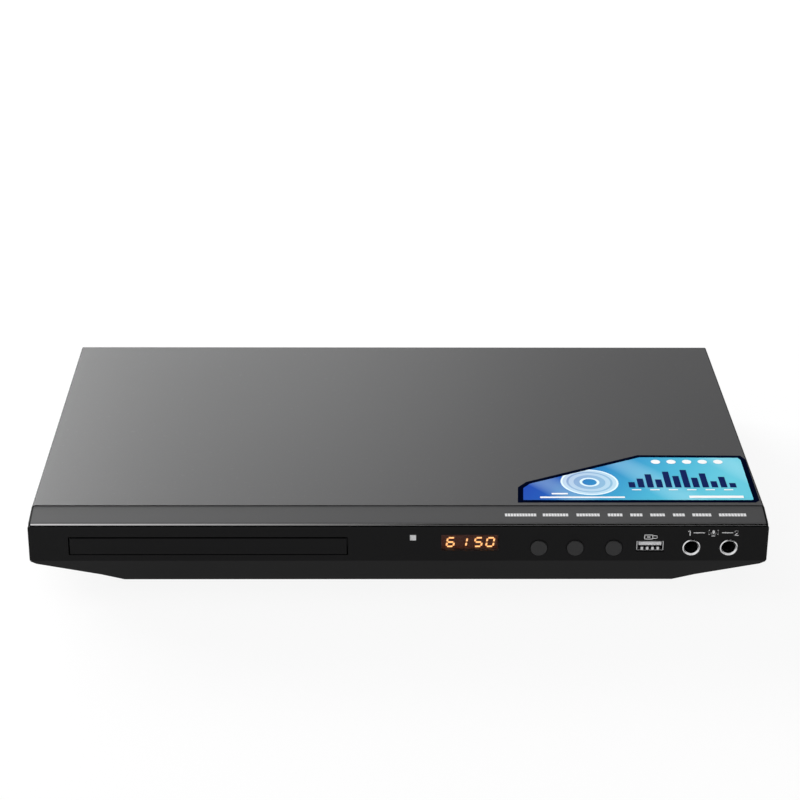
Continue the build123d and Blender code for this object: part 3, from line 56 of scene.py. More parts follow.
# Camera: a long lens a metre in front of the player, looking down by 24 degrees
# and a touch to the right, with the small lean that the picture has.
CAMERA_PLACE = Vector((-0.0143, -1.0425, 0.5175))
PITCH, YAW, LEAN = math.radians(24.0), math.radians(0.88), math.radians(0.389)
LENS, SENSOR, CLIP_END = 97.07, 36.0, 20.0

ahead = Vector((math.sin(YAW) * math.cos(PITCH), math.cos(YAW) * math.cos(PITCH), -math.sin(PITCH)))
level_right = Vector((math.cos(YAW), -math.sin(YAW), 0.0))
level_up = level_right.cross(ahead)
right = level_right * math.cos(LEAN) + level_up * math.sin(LEAN)
up = level_up * math.cos(LEAN) - level_right * math.sin(LEAN)
camera_data = bpy.data.cameras.new("camera")
camera_data.sensor_width, camera_data.lens, camera_data.clip_end = SENSOR, LENS, CLIP_END
camera = bpy.data.objects.new("camera", camera_data)
turn = Matrix((right, up, -ahead)).transposed()
camera.matrix_world = Matrix.Translation(CAMERA_PLACE) @ turn.to_4x4()
scene.collection.objects.link(camera)
scene.camera = camera


# Studio: a white table that keeps the player's soft shadow, and a pale room around it.
# Two cards, which the player mirrors, fade to black from left to right. A strong lamp at
# the back left grades the lid, and weak ones stand behind, above and in front.
TABLE_HALF, TABLE_DROP, TABLE_WHITE, TABLE_GLOW = 6.0, 0.0002, 0.86, 0.9
ROOM_LIGHT = (0.4, 0.4, 0.405)
CARD_HALF = 3.0


def start_material(name):
    """An empty node material: its tree, and a Principled shader joined to the output."""
    material = bpy.data.materials.new(name)
    material.use_nodes = True
    return material, material.node_tree, material.node_tree.nodes["Principled BSDF"]


def joined(tree, kind, socket, source):
    """A new node of a kind, with one of its sockets fed by a source."""
    node = tree.nodes.new(kind)
    tree.links.new(source, node.inputs[socket])
    return node


def math_of(tree, operation, first, second=None):
    """A calculation with one value or two; the second is a socket or a plain number."""
    node = joined(tree, "ShaderNodeMath", 0, first)
    node.operation = operation
    if isinstance(second, float):
        node.inputs[1].default_value = second
    elif second:
        tree.links.new(second, node.inputs[1])
    return node.outputs["Value"]


def stepped(tree, value, start, end, top=1.0):
    """0 up to the start, then rising evenly to the top, which is held from the end on."""
    node = joined(tree, "ShaderNodeMapRange", "Value", value)
    node.inputs["From Min"].default_value = start
    node.inputs["From Max"].default_value = end
    node.inputs["To Max"].default_value = top
    return node.outputs["Result"]


def place_of(tree):
    """A surface point's place in its own object's frame, in metres."""
    return tree.nodes.new("ShaderNodeTexCoord").outputs["Object"]


def axes_of(tree):
    """The same place as separate X, Y and Z sockets."""
    return joined(tree, "ShaderNodeSeparateXYZ", "Vector", place_of(tree)).outputs


def seen_directly(tree):
    """One where the camera, a reflection or clear plastic shows the surface, and else zero."""
    rays = tree.nodes.new("ShaderNodeLightPath").outputs
    either = math_of(tree, "MAXIMUM", rays["Is Camera Ray"], rays["Is Glossy Ray"])
    return math_of(tree, "MAXIMUM", either, rays["Is Transmission Ray"])


def blend_surface(tree, share, first, second, output):
    """Two shaders mixed by a share, as the surface of the tree's output node."""
    blend = joined(tree, "ShaderNodeMixShader", "Fac", share)
    tree.links.new(first, blend.inputs[1])
    tree.links.new(second, blend.inputs[2])
    tree.links.new(blend.outputs["Shader"], tree.nodes[output].inputs["Surface"])


def flat_sheet(name, corners, material):
    mesh = bpy.data.meshes.new(name)
    mesh.from_pydata(corners, [], [(0, 1, 2, 3)])
    mesh.materials.append(material)
    sheet = bpy.data.objects.new(name, mesh)
    scene.collection.objects.link(sheet)
    return sheet


table_white, tree, shader = start_material("table_white")
shader.inputs["Base Color"].default_value = (TABLE_WHITE, TABLE_WHITE, TABLE_WHITE, 1.0)
shader.inputs["Roughness"].default_value = 0.9
shader.inputs["Specular IOR Level"].default_value = 0.0
glow = tree.nodes.new("ShaderNodeEmission")
glow.inputs["Strength"].default_value = 1.0
share = math_of(tree, "MULTIPLY", seen_directly(tree), TABLE_GLOW)
blend_surface(tree, share, shader.outputs["BSDF"], glow.outputs["Emission"], "Material Output")
corners = [(x * TABLE_HALF, y * TABLE_HALF, -TABLE_DROP) for x, y in ((-1, -1), (1, -1), (1, 1), (-1, 1))]
table = flat_sheet("table", corners, table_white)
table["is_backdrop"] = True

world = bpy.data.worlds.new("room")
world.use_nodes = True
scene.world = world
tree = world.node_tree
grey_wall, white_wall = tree.nodes["Background"], tree.nodes.new("ShaderNodeBackground")
grey_wall.inputs["Color"].default_value = (*ROOM_LIGHT, 1.0)
white_wall.inputs["Color"].default_value = (1.0, 1.0, 1.0, 1.0)
lit, seen = (wall.outputs["Background"] for wall in (grey_wall, white_wall))
blend_surface(tree, seen_directly(tree), lit, seen, "World Output")


def add_lamp(name, place, aim, wide, high, power):
    data = bpy.data.lights.new(name, "AREA")
    data.shape = "RECTANGLE"
    data.size, data.size_y, data.energy = wide, high, power
    lamp = bpy.data.objects.new(name, data)
    lamp.location = place
    lamp.rotation_mode = "QUATERNION"
    lamp.rotation_quaternion = (Vector(aim) - Vector(place)).to_track_quat("-Z", "Y")
    lamp.visible_camera = False
    scene.collection.objects.link(lamp)


def graded_card(name, white_x, black_x, near, far):
    """A wide card between two (y, z) edges, seen only in reflections, that fades to black on its right."""
    material, tree, shader = start_material(name)
    tree.links.new(stepped(tree, axes_of(tree)["X"], black_x, white_x), shader.inputs["Emission Strength"])
    shader.inputs["Emission Color"].default_value = (1.0, 1.0, 1.0, 1.0)
    shader.inputs["Base Color"].default_value = (0.0, 0.0, 0.0, 1.0)
    shader.inputs["Specular IOR Level"].default_value = 0.0
    corners = [(-CARD_HALF, *near), (CARD_HALF, *near), (CARD_HALF, *far), (-CARD_HALF, *far)]
    card = flat_sheet(name, corners, material)
    card.visible_camera = card.visible_diffuse = card.visible_shadow = card.visible_transmission = False
    card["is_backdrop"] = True


graded_card("front_card", -0.55, 0.08, (-2.2, 0.1), (-0.7, 1.6))
graded_card("top_card", -0.5, 0.8, (-0.1, 2.2), (2.2, 1.1))
add_lamp("lamp_back_left", (-1.6, 1.8, 0.58), (0.0, 0.0, 0.0), 2.0, 0.7, 190.0)
add_lamp("lamp_back_middle", (-0.3, 2.4, 0.75), (0.0, 0.0, 0.0), 0.9, 0.9, 7.0)
add_lamp("lamp_over", (-0.9, 0.2, 1.9), (0.0, 0.0, 0.0), 1.2, 1.2, 9.0)
add_lamp("lamp_front", (-0.9, -2.2, 0.9), (0.0, -0.1, 0.0), 1.2, 0.8, 4.8)


# Chassis: a tray of zinc-plated steel sheet, bent up at its edges, with stand-offs
# pressed in. The motors' cans and the shell of the digital socket have a bright tinned skin.
MM = 0.001
NOISE_DETAIL = {"Grain": 2.0, "Cloud": 3.0}
EDGE_AGREES, EDGE_TURNED = 1.0, 0.8
SPECK_SCALE, SPECK_DETAIL, SPECK_RARE = 400.0, 4.0, (0.62, 0.8)
LEVEL_ENOUGH = 0.7
PALER_EDGE, PALER_LIFT, RUBBED_SHARE = 1.5, 0.01, 0.35
DUST_KEEPS, DUST_LIFT = 0.5, 0.12
PLASTIC_DRIFT = 0.06


def new_group(name, inputs, outputs):
    """A node group whose sockets are all numbers; each input has a value of its own."""
    group = bpy.data.node_groups.new(name, "ShaderNodeTree")
    for label, value in inputs.items():
        socket = group.interface.new_socket(label, in_out="INPUT", socket_type="NodeSocketFloat")
        socket.default_value = value
    for label in outputs:
        group.interface.new_socket(label, in_out="OUTPUT", socket_type="NodeSocketFloat")
    return group, group.nodes.new("NodeGroupInput"), group.nodes.new("NodeGroupOutput")


def make_grain_group():
    """Fine grain and broad clouds over a surface, both from 0 to 1."""
    sizes = {"Grain Size": 0.4 * MM, "Cloud Size": 30.0 * MM}
    group, inside, outside = new_group("grain", sizes, ("Grain", "Clouds"))
    place = place_of(group)
    for name, result in (("Grain", "Grain"), ("Cloud", "Clouds")):
        scale = group.nodes.new("ShaderNodeMath")
        scale.operation = "DIVIDE"
        scale.inputs[0].default_value = 1.0
        group.links.new(inside.outputs[name + " Size"], scale.inputs[1])
        noise = joined(group, "ShaderNodeTexNoise", "Vector", place)
        noise.inputs["Detail"].default_value = NOISE_DETAIL[name]
        group.links.new(scale.outputs[0], noise.inputs["Scale"])
        group.links.new(noise.outputs["Fac"], outside.inputs[result])
    return group


def make_wear_group():
    """Where edges are rubbed bare and where dust settles on upward faces, from 0 to 1."""
    group, inside, outside = new_group("wear", {"Edge Reach": 0.4 * MM}, ("Edges", "Dust"))
    rounded = joined(group, "ShaderNodeBevel", "Radius", inside.outputs["Edge Reach"])
    rounded.samples = 4
    normal = group.nodes.new("ShaderNodeNewGeometry").outputs["Normal"]
    agree = joined(group, "ShaderNodeVectorMath", 0, rounded.outputs["Normal"])
    agree.operation = "DOT_PRODUCT"
    group.links.new(normal, agree.inputs[1])
    edges = stepped(group, agree.outputs["Value"], EDGE_AGREES, EDGE_TURNED)
    group.links.new(edges, outside.inputs["Edges"])
    upward = joined(group, "ShaderNodeSeparateXYZ", "Vector", normal).outputs["Z"]
    specks = joined(group, "ShaderNodeTexNoise", "Vector", place_of(group))
    specks.inputs["Scale"].default_value = SPECK_SCALE
    specks.inputs["Detail"].default_value = SPECK_DETAIL
    few = stepped(group, specks.outputs["Fac"], *SPECK_RARE)
    dust = math_of(group, "MULTIPLY", stepped(group, upward, LEVEL_ENOUGH, 1.0), few)
    group.links.new(dust, outside.inputs["Dust"])
    return group


grain_group = make_grain_group()
wear_group = make_wear_group()


def place_group(tree, group, **values):
    """The outputs of a group node in a tree, with its named inputs set."""
    node = tree.nodes.new("ShaderNodeGroup")
    node.node_tree = group
    for name, value in values.items():
        node.inputs[name.replace("_", " ")].default_value = value
    return node.outputs


def ranged(tree, source, low, high):
    """A value from 0 to 1 stretched to run from low to high."""
    node = joined(tree, "ShaderNodeMapRange", "Value", source)
    node.inputs["To Min"].default_value = low
    node.inputs["To Max"].default_value = high
    return node.outputs["Result"]


def scaled(colour, factor):
    return tuple(min(1.0, c * factor) for c in colour)


def colour_mix(tree, share, first, second):
    """Two colours mixed by a share; each is a socket or an RGB triple."""
    node = tree.nodes.new("ShaderNodeMix")
    node.data_type = "RGBA"
    tree.links.new(share, node.inputs["Factor"])
    for name, colour in (("A", first), ("B", second)):
        socket = [s for s in node.inputs if s.name == name and s.type == "RGBA"][0]
        if isinstance(colour, tuple):
            socket.default_value = (*colour, 1.0)
        else:
            tree.links.new(colour, socket)
    return [s for s in node.outputs if s.type == "RGBA"][0]


def coat(tree, shader, colour, gloss, shine=0.5):
    """Feeds a shader its colour and roughness, and sets how strongly it mirrors."""
    tree.links.new(colour, shader.inputs["Base Color"])
    tree.links.new(gloss, shader.inputs["Roughness"])
    shader.inputs["Specular IOR Level"].default_value = shine


def add_bump(tree, shader, height, depth):
    bump = joined(tree, "ShaderNodeBump", "Height", height)
    bump.inputs["Strength"].default_value = 1.0
    bump.inputs["Distance"].default_value = depth
    tree.links.new(bump.outputs["Normal"], shader.inputs["Normal"])


def moulded(name, colour, rough, grain=0.35 * MM, depth=0.01 * MM, shine=0.5, change=0.12, dusty=0.12):
    """Moulded plastic: its colour drifts a little, its grain is pressed in, its edges are paler."""
    material, tree, shader = start_material(name)
    skin = place_group(tree, grain_group, Grain_Size=grain, Cloud_Size=25 * MM)
    wear = place_group(tree, wear_group, Edge_Reach=0.3 * MM)
    edge = tuple(min(1.0, c * PALER_EDGE + PALER_LIFT) for c in colour)
    grey = tuple(DUST_KEEPS * c + DUST_LIFT for c in colour)
    body = colour_mix(tree, skin["Clouds"], scaled(colour, 1 - change), scaled(colour, 1 + change))
    rubbed = colour_mix(tree, ranged(tree, wear["Edges"], 0.0, RUBBED_SHARE), body, edge)
    dusted = colour_mix(tree, ranged(tree, wear["Dust"], 0.0, dusty), rubbed, grey)
    gloss = ranged(tree, skin["Grain"], rough - PLASTIC_DRIFT, rough + PLASTIC_DRIFT)
    coat(tree, shader, dusted, gloss, shine)
    add_bump(tree, shader, skin["Grain"], depth)
    return material


def metal(name, colour, rough, stretch=(1.0, 14.0, 14.0), grain=0.6 * MM, depth=0.002 * MM):
    """Bare metal with fine rolled or turned lines and cloudy gloss."""
    material, tree, shader = start_material(name)
    pull = joined(tree, "ShaderNodeMapping", "Vector", place_of(tree))
    pull.inputs["Scale"].default_value = stretch
    noise = joined(tree, "ShaderNodeTexNoise", "Vector", pull.outputs["Vector"])
    noise.inputs["Scale"].default_value = 0.1 / grain
    lines = noise.outputs["Fac"]
    skin = place_group(tree, grain_group, Grain_Size=grain, Cloud_Size=18 * MM)
    body = colour_mix(tree, skin["Clouds"], scaled(colour, 0.86), colour)
    coat(tree, shader, body, ranged(tree, lines, rough - 0.08, rough + 0.1))
    shader.inputs["Metallic"].default_value = 1.0
    add_bump(tree, shader, lines, depth)
    return material


def dress(material, *names):
    """Gives CAD nodes their finish."""
    for name in names:
        mesh = nodes[name].data
        mesh.materials.clear()
        mesh.materials.append(material)


dress(metal("zinc_steel", (0.62, 0.63, 0.62), 0.32), "bottom_chassis")
tinned_can = metal("tinned_can", (0.66, 0.66, 0.65), 0.28)
dress(tinned_can, "loading_motor", "spindle_motor", "sled_motor", "digital_socket")


# Feet: four discs of black plastic, pushed into the floor of the chassis. A soft rubber
# pad is stuck under each.
dress(moulded("foot_plastic", (0.022, 0.022, 0.023), 0.5), "feet")
pad_rubber = moulded("pad_rubber", (0.03, 0.03, 0.031), 0.85, grain=0.5 * MM, depth=0.03 * MM, shine=0.2)
dress(pad_rubber, "foot_pads")


# Boards: green glass-fibre boards on the stand-offs, with black chips, a finned
# aluminium heat sink, a transformer wound with yellow tape, and sleeved capacitors.
TRACK_SCALE, TRACK_GAP = 110.0, 0.03
TRACK_COLOURS = {"Color1": (0.012, 0.11, 0.045), "Color2": (0.016, 0.14, 0.06),
                 "Mortar": (0.05, 0.26, 0.09)}


def board_green():
    """Solder resist with faint copper tracks under it."""
    material, tree, shader = start_material("board_green")
    tracks = joined(tree, "ShaderNodeTexBrick", "Vector", place_of(tree))
    tracks.inputs["Scale"].default_value = TRACK_SCALE
    tracks.inputs["Mortar Size"].default_value = TRACK_GAP
    for name, colour in TRACK_COLOURS.items():
        tracks.inputs[name].default_value = (*colour, 1.0)
    skin = place_group(tree, grain_group, Grain_Size=1.2 * MM, Cloud_Size=12 * MM)
    coat(tree, shader, tracks.outputs["Color"], ranged(tree, skin["Clouds"], 0.25, 0.45))
    add_bump(tree, shader, tracks.outputs["Fac"], 0.02 * MM)
    return material


dress(board_green(), "main_board", "power_board", "front_board", "jack_board")
dress(moulded("chip_black", (0.018, 0.018, 0.019), 0.55), "board_chips", "sensor_receiver")
dress(metal("fin_aluminium", (0.7, 0.7, 0.72), 0.35, stretch=(14.0, 1.0, 14.0)), "heat_sink")
dress(moulded("winding_tape", (0.62, 0.42, 0.05), 0.4, depth=0.02 * MM), "power_transformer")
dress(moulded("capacitor_sleeve", (0.02, 0.025, 0.07), 0.3, depth=0.004 * MM), "power_capacitors")
ribbon_film = moulded("ribbon_film", (0.72, 0.72, 0.68), 0.35, grain=0.8 * MM)
dress(ribbon_film, "deck_ribbon", "front_ribbon", "power_ribbon")
dress(metal("zinc_screw", (0.6, 0.6, 0.56), 0.35), "board_screws", "damper_screws")


# Loader and disc deck: black moulded frames, white acetal gears, a rubber belt,
# a steel deck plate on rubber dampers, and the pickup on two polished rods.
dress(moulded("loader_black", (0.02, 0.02, 0.021), 0.45), "loader_frame", "clamp_bridge", "deck_frame")
dress(moulded("tray_black", (0.016, 0.016, 0.017), 0.38, grain=0.5 * MM), "tray")
dress(moulded("cam_grey", (0.16, 0.16, 0.165), 0.42), "cam_slider", "pickup_sled")
acetal = moulded("acetal_white", (0.74, 0.74, 0.71), 0.36, depth=0.004 * MM)
dress(acetal, "drive_gear", "pulley_gear", "motor_pulley", "sled_gear", "sled_pinion", "clamper")
rubber = moulded("belt_rubber", (0.016, 0.016, 0.017), 0.75, depth=0.02 * MM, shine=0.25)
dress(rubber, "drive_belt", "dampers", "turntable_ring")
dress(moulded("turntable_black", (0.02, 0.02, 0.02), 0.3), "turntable")
dress(metal("deck_steel", (0.6, 0.61, 0.6), 0.3), "deck_plate")
dress(metal("polished_rod", (0.75, 0.75, 0.76), 0.12, stretch=(14.0, 1.0, 14.0)), "guide_rods")


def coated_lens():
    """A small lens whose dark blue coating turns violet at its rim."""
    material, tree, shader = start_material("coated_lens")
    facing = tree.nodes.new("ShaderNodeLayerWeight")
    facing.inputs["Blend"].default_value = 0.35
    tint = colour_mix(tree, facing.outputs["Facing"], (0.02, 0.03, 0.09), (0.25, 0.12, 0.4))
    tree.links.new(tint, shader.inputs["Base Color"])
    shader.inputs["Roughness"].default_value = 0.05
    shader.inputs["Coat Weight"].default_value = 1.0
    return material


dress(coated_lens(), "pickup_lens")


# Cover: one steel sheet bent down at both sides and the rear, sprayed dark grey with a
# fine satin texture, as the rear panel is. Screws in dimples hold its sides.
LID_GREY, LID_SHINE = (0.03, 0.03, 0.031), 0.16
SPECK_GREY, EDGE_GREY, DUST_GREY = (0.1, 0.1, 0.103), (0.06, 0.06, 0.06), (0.3, 0.3, 0.3)
FOLD_X, FOLD_Z, FOLD_SOFT = 178.6, 39.0, 0.3


def cover_paint():
    """Satin powder paint: a fine orange-peel, faint clouds, pale specks and thin edges.
    It is duller where the sheet is folded down at the sides."""
    material, tree, shader = start_material("cover_paint")
    place = axes_of(tree)
    aside = math_of(tree, "ABSOLUTE", place["X"])
    outer = stepped(tree, aside, FOLD_X * MM, (FOLD_X + FOLD_SOFT) * MM)
    upper = stepped(tree, place["Z"], (FOLD_Z - FOLD_SOFT) * MM, FOLD_Z * MM)
    fold = math_of(tree, "MULTIPLY", outer, upper)
    skin = place_group(tree, grain_group, Grain_Size=0.5 * MM, Cloud_Size=60 * MM)
    wear = place_group(tree, wear_group, Edge_Reach=0.5 * MM)
    body = colour_mix(tree, skin["Clouds"], scaled(LID_GREY, 0.94), scaled(LID_GREY, 1.06))
    speck = colour_mix(tree, ranged(tree, skin["Grain"], 0.0, 0.25), body, SPECK_GREY)
    thin = colour_mix(tree, ranged(tree, wear["Edges"], 0.0, 0.3), speck, EDGE_GREY)
    dusted = colour_mix(tree, ranged(tree, wear["Dust"], 0.0, 0.05), thin, DUST_GREY)
    gloss = math_of(tree, "ADD", ranged(tree, skin["Clouds"], 0.42, 0.46), ranged(tree, fold, 0.0, 0.5))
    coat(tree, shader, dusted, gloss, LID_SHINE)
    add_bump(tree, shader, skin["Grain"], 0.006 * MM)
    return material


dress(cover_paint(), "top_cover", "rear_panel")
dress(metal("black_screw", (0.09, 0.09, 0.092), 0.4), "cover_screws")


# Seam foam: a black foam angle stuck to the back of the trim, just under the lid's front
# edge. It closes the seam, so no light comes up through it, and its black is painted shade there.
FOAM_HALF, FOAM_THICK, FOAM_STATIONS = 175.0, 0.5, 36
FOAM_FRONT_Y, FOAM_BACK_Y, FOAM_LOW_Z, FOAM_TOP_Z = -97.44, -94.8, 36.8, 39.1
LOOSE_CORNERS, LOOSE_SHARE, LOOSE_TURN = (3, 4), 0.3, 1.7


def shade_foam_angle():
    """An L-shaped strip, folded once along its length, whose free edge wanders a little."""
    inner_y, under_z = FOAM_FRONT_Y + FOAM_THICK, FOAM_TOP_Z - FOAM_THICK
    section = ((FOAM_FRONT_Y, FOAM_LOW_Z), (inner_y, FOAM_LOW_Z), (inner_y, under_z),
               (FOAM_BACK_Y, under_z), (FOAM_BACK_Y, FOAM_TOP_Z), (FOAM_FRONT_Y, FOAM_TOP_Z))
    count = len(section)
    points, faces = [], []
    for i in range(FOAM_STATIONS + 1):
        x = FOAM_HALF * (2 * i / FOAM_STATIONS - 1)
        loose = FOAM_THICK * LOOSE_SHARE * math.sin(LOOSE_TURN * i)
        for j, (y, z) in enumerate(section):
            points.append(Vector((x, y + loose if j in LOOSE_CORNERS else y, z)) * MM)
    for near in range(0, FOAM_STATIONS * count, count):
        for j in range(count):
            far, step = near + count, (j + 1) % count
            faces.append((near + j, near + step, far + step, far + j))
    last = FOAM_STATIONS * count
    faces += [tuple(range(count))[::-1], tuple(range(last, last + count))]
    mesh = bpy.data.meshes.new("seam_shade_foam")
    mesh.from_pydata(points, [], faces)
    # Its near-black colour is painted shade, seen through the seam.
    mesh.materials.append(moulded("seam_shade_foam", (0.01, 0.01, 0.0105), 0.85, depth=0.03 * MM, shine=0.1))
    return mesh


foam = bpy.data.objects.new("seam_shade_foam", shade_foam_angle())
scene.collection.objects.link(foam)
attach(foam, "casing")


# Rear sockets: a black moulded block with eight nickel-plated sleeves, and a two-pin mains
# inlet. They are soldered to their boards and look out through the rear panel.
dress(moulded("socket_black", (0.015, 0.015, 0.016), 0.4), "av_jack_block", "mains_inlet")
dress(metal("nickel_sleeve", (0.7, 0.68, 0.62), 0.2), "av_jack_sleeves")


# Front panel: one black moulding with a fine spark texture, which the tray's door shares.
# Its chin slants back, and its lower ends rise.
def panel_black():
    material, tree, shader = start_material("panel_black")
    skin = place_group(tree, grain_group, Grain_Size=0.32 * MM, Cloud_Size=40 * MM)
    wear = place_group(tree, wear_group, Edge_Reach=0.35 * MM)
    body = colour_mix(tree, skin["Grain"], (0.002, 0.002, 0.0022), (0.005, 0.005, 0.0053))
    thin = colour_mix(tree, ranged(tree, wear["Edges"], 0.0, 0.25), body, (0.02, 0.02, 0.021))
    coat(tree, shader, thin, ranged(tree, skin["Clouds"], 0.44, 0.54), 0.12)
    add_bump(tree, shader, skin["Grain"], 0.03 * MM)
    return material


dress(panel_black(), "front_panel", "tray_door")


# Trim: a sloping strip along the top of the panel, sprayed satin grey to match the lid.
# Its chamfered front edge, below the slope, is bright-cut.
EDGE_TOP_Z, EDGE_SOFT = 36.95, 0.06
EDGE_BRIGHT, EDGE_SMOOTHER = (0.72, 0.72, 0.72), -0.28


def trim_grey():
    material, tree, shader = start_material("trim_grey")
    skin = place_group(tree, grain_group, Grain_Size=0.25 * MM, Cloud_Size=50 * MM)
    cut = stepped(tree, axes_of(tree)["Z"], EDGE_TOP_Z * MM, (EDGE_TOP_Z - EDGE_SOFT) * MM)
    body = colour_mix(tree, skin["Grain"], (0.058, 0.058, 0.059), (0.078, 0.078, 0.0795))
    clouds = ranged(tree, skin["Clouds"], 0.36, 0.42)
    gloss = math_of(tree, "ADD", clouds, ranged(tree, cut, 0.0, EDGE_SMOOTHER))
    coat(tree, shader, colour_mix(tree, cut, body, EDGE_BRIGHT), gloss, 0.4)
    tree.links.new(cut, shader.inputs["Metallic"])
    add_bump(tree, shader, skin["Grain"], 0.003 * MM)
    return material


dress(trim_grey(), "top_trim")


# Windows: a pale square over the receiver of the remote control, and a smoked one
# over the four-digit display, whose dark epoxy face has a faint warm glow.
def smoked_plastic(name, colour, cover):
    """Smoked plastic, whose colour covers a share of what lies behind each face."""
    material, tree, shader = start_material(name)
    skin = place_group(tree, grain_group, Grain_Size=0.3 * MM, Cloud_Size=8 * MM)
    clouds = skin["Clouds"]
    tint = colour_mix(tree, clouds, colour, scaled(colour, 1.2))
    coat(tree, shader, tint, ranged(tree, clouds, 0.1, 0.16), 0.2)
    tree.links.new(ranged(tree, clouds, cover - 0.02, cover + 0.02), shader.inputs["Alpha"])
    return material


def display_epoxy():
    material, tree, shader = start_material("display_epoxy")
    skin = place_group(tree, grain_group, Grain_Size=0.3 * MM, Cloud_Size=5 * MM)
    body = colour_mix(tree, skin["Grain"], (0.02, 0.013, 0.011), (0.03, 0.019, 0.016))
    tree.links.new(body, shader.inputs["Base Color"])
    tree.links.new(ranged(tree, skin["Clouds"], 0.05, 0.14), shader.inputs["Emission Strength"])
    shader.inputs["Emission Color"].default_value = (1.0, 0.2, 0.06, 1.0)
    shader.inputs["Roughness"].default_value = 0.4
    return material


dress(smoked_plastic("smoked_window", (0.016, 0.009, 0.008), 0.42), "display_window")
dress(moulded("sensor_white", (0.8, 0.8, 0.8), 0.4, depth=0.002 * MM), "sensor_window")
dress(display_epoxy(), "led_display")
dress(moulded("switch_black", (0.02, 0.02, 0.02), 0.5), "tact_switches")


# Digits: a plain number in four slanted seven-segment figures, which glow orange
# on the display's face.
LIT = {"0": "abcdef", "1": "bc", "5": "acdfg", "6": "acdefg"}
SEGMENTS = {"a": (-1, 2, 1, 2), "b": (1, 2, 1, 1), "c": (1, 1, 1, 0), "d": (-1, 0, 1, 0),
            "e": (-1, 1, -1, 0), "f": (-1, 2, -1, 1), "g": (-1, 1, 1, 1)}
DIGITS = (("6", 24.9), ("1", 31.0), ("5", 38.5), ("0", 44.3))
DIGIT_HALF, DIGIT_STEP, DIGIT_BAR, DIGIT_GAP, DIGIT_LEAN = 1.7, 2.35, 0.8, 0.42, 0.15
DIGIT_Z, DIGIT_LIFT, DIGIT_GLOW = 23.1, 0.05, 4.8


def bar(start, end, wide, over=0.0):
    """The four corners of a flat bar between two points; it runs over each end by a length."""
    along = (Vector(end) - Vector(start)).normalized()
    side = Vector((-along.y, along.x)) * (wide / 2)
    first, last = Vector(start) - along * over, Vector(end) + along * over
    return [first - side, last - side, last + side, first + side]


def add_print(name, shapes, place, material, body="casing"):
    """Thin flat shapes in one mesh. Each is a run of (u, v) corners in millimetres."""
    points, faces = [], []
    for shape in shapes:
        faces.append(tuple(range(len(points), len(points) + len(shape))))
        points += [Vector(place(u, v)) * MM for u, v in shape]
    mesh = bpy.data.meshes.new(name)
    mesh.from_pydata(points, [], faces)
    mesh.materials.append(material)
    piece = bpy.data.objects.new(name, mesh)
    scene.collection.objects.link(piece)
    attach(piece, body)


def glowing(name, colour, strength):
    material, tree, shader = start_material(name)
    skin = place_group(tree, grain_group, Grain_Size=0.2 * MM, Cloud_Size=3 * MM)
    warm = colour_mix(tree, skin["Clouds"], colour, scaled(colour, 1.25))
    tree.links.new(warm, shader.inputs["Emission Color"])
    shader.inputs["Base Color"].default_value = (*colour, 1.0)
    shader.inputs["Emission Strength"].default_value = strength
    return material


shapes = []
for figure, middle in DIGITS:
    for letter in LIT[figure]:
        u0, v0, u1, v1 = SEGMENTS[letter]
        start, end = (u0 * DIGIT_HALF, v0 * DIGIT_STEP), (u1 * DIGIT_HALF, v1 * DIGIT_STEP)
        shapes.append([(middle + u + v * DIGIT_LEAN, v) for u, v in bar(start, end, DIGIT_BAR, -DIGIT_GAP)])
digit_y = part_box("led_display")[0][1] / MM - DIGIT_LIFT
add_print("display_digits", shapes, lambda u, v: (u, digit_y, DIGIT_Z + v),
          glowing("lit_orange", (1.0, 0.4, 0.15), DIGIT_GLOW))


# Buttons: three round black caps, a little glossier and paler than the panel. Each slides
# in a hole of the panel and presses a switch on the board behind it.
button_skin = moulded("button_black", (0.012, 0.012, 0.0125), 0.42, grain=0.25 * MM, shine=0.35, dusty=0.0)
dress(button_skin, "button_1", "button_2", "button_3")


# Front sockets: a port with a tinned shell and a white tongue, and two moulded jacks whose
# chromed rings sit in the face. They stand on a small board behind the panel.
dress(metal("socket_shell", (0.6, 0.6, 0.61), 0.3), "usb_socket")
dress(moulded("tongue_white", (0.88, 0.88, 0.89), 0.4), "usb_tongue")
dress(moulded("jack_black", (0.012, 0.012, 0.013), 0.45), "mic_jacks")
dress(metal("chromed_ring", (0.8, 0.8, 0.81), 0.22, stretch=(1.0, 1.0, 1.0)), "mic_rings")


# Trim marks: nine white prints on the right of the trim, each two rows of plain blocks
# with no lettering. They follow the trim's slope from front to back.
FRONT_Y = -111.55
MARK_SPANS = ((51.7, 67.2), (70.2, 82.8), (86.7, 98.2), (102.0, 109.3), (113.0, 119.1), (122.8, 130.1),
              (133.9, 139.8), (143.4, 152.8), (156.4, 169.9))
MARK_FRONT, MARK_DEEP, MARK_PITCH, MARK_GAP, INK_LIFT = 6.1, 2.2, 1.45, 0.2, 0.03
SLOPE_DEPTH, SLOPE_Z, SLOPE_RISE = 1.3, 37.25, 0.1875


def ink(name, colour, rough=0.45, shine=0.1):
    """Printing ink: even, with a faint screen grain where it is thinner."""
    material, tree, shader = start_material(name)
    skin = place_group(tree, grain_group, Grain_Size=0.15 * MM, Cloud_Size=6 * MM)
    body = colour_mix(tree, ranged(tree, skin["Grain"], 0.0, 0.5), colour, scaled(colour, 0.8))
    coat(tree, shader, body, ranged(tree, skin["Clouds"], rough - 0.05, rough + 0.05), shine)
    return material


def on_slope(x, depth):
    """A point on the trim's sloping top, at a depth behind the face."""
    return x, FRONT_Y + depth, SLOPE_Z + SLOPE_RISE * (depth - SLOPE_DEPTH) + INK_LIFT


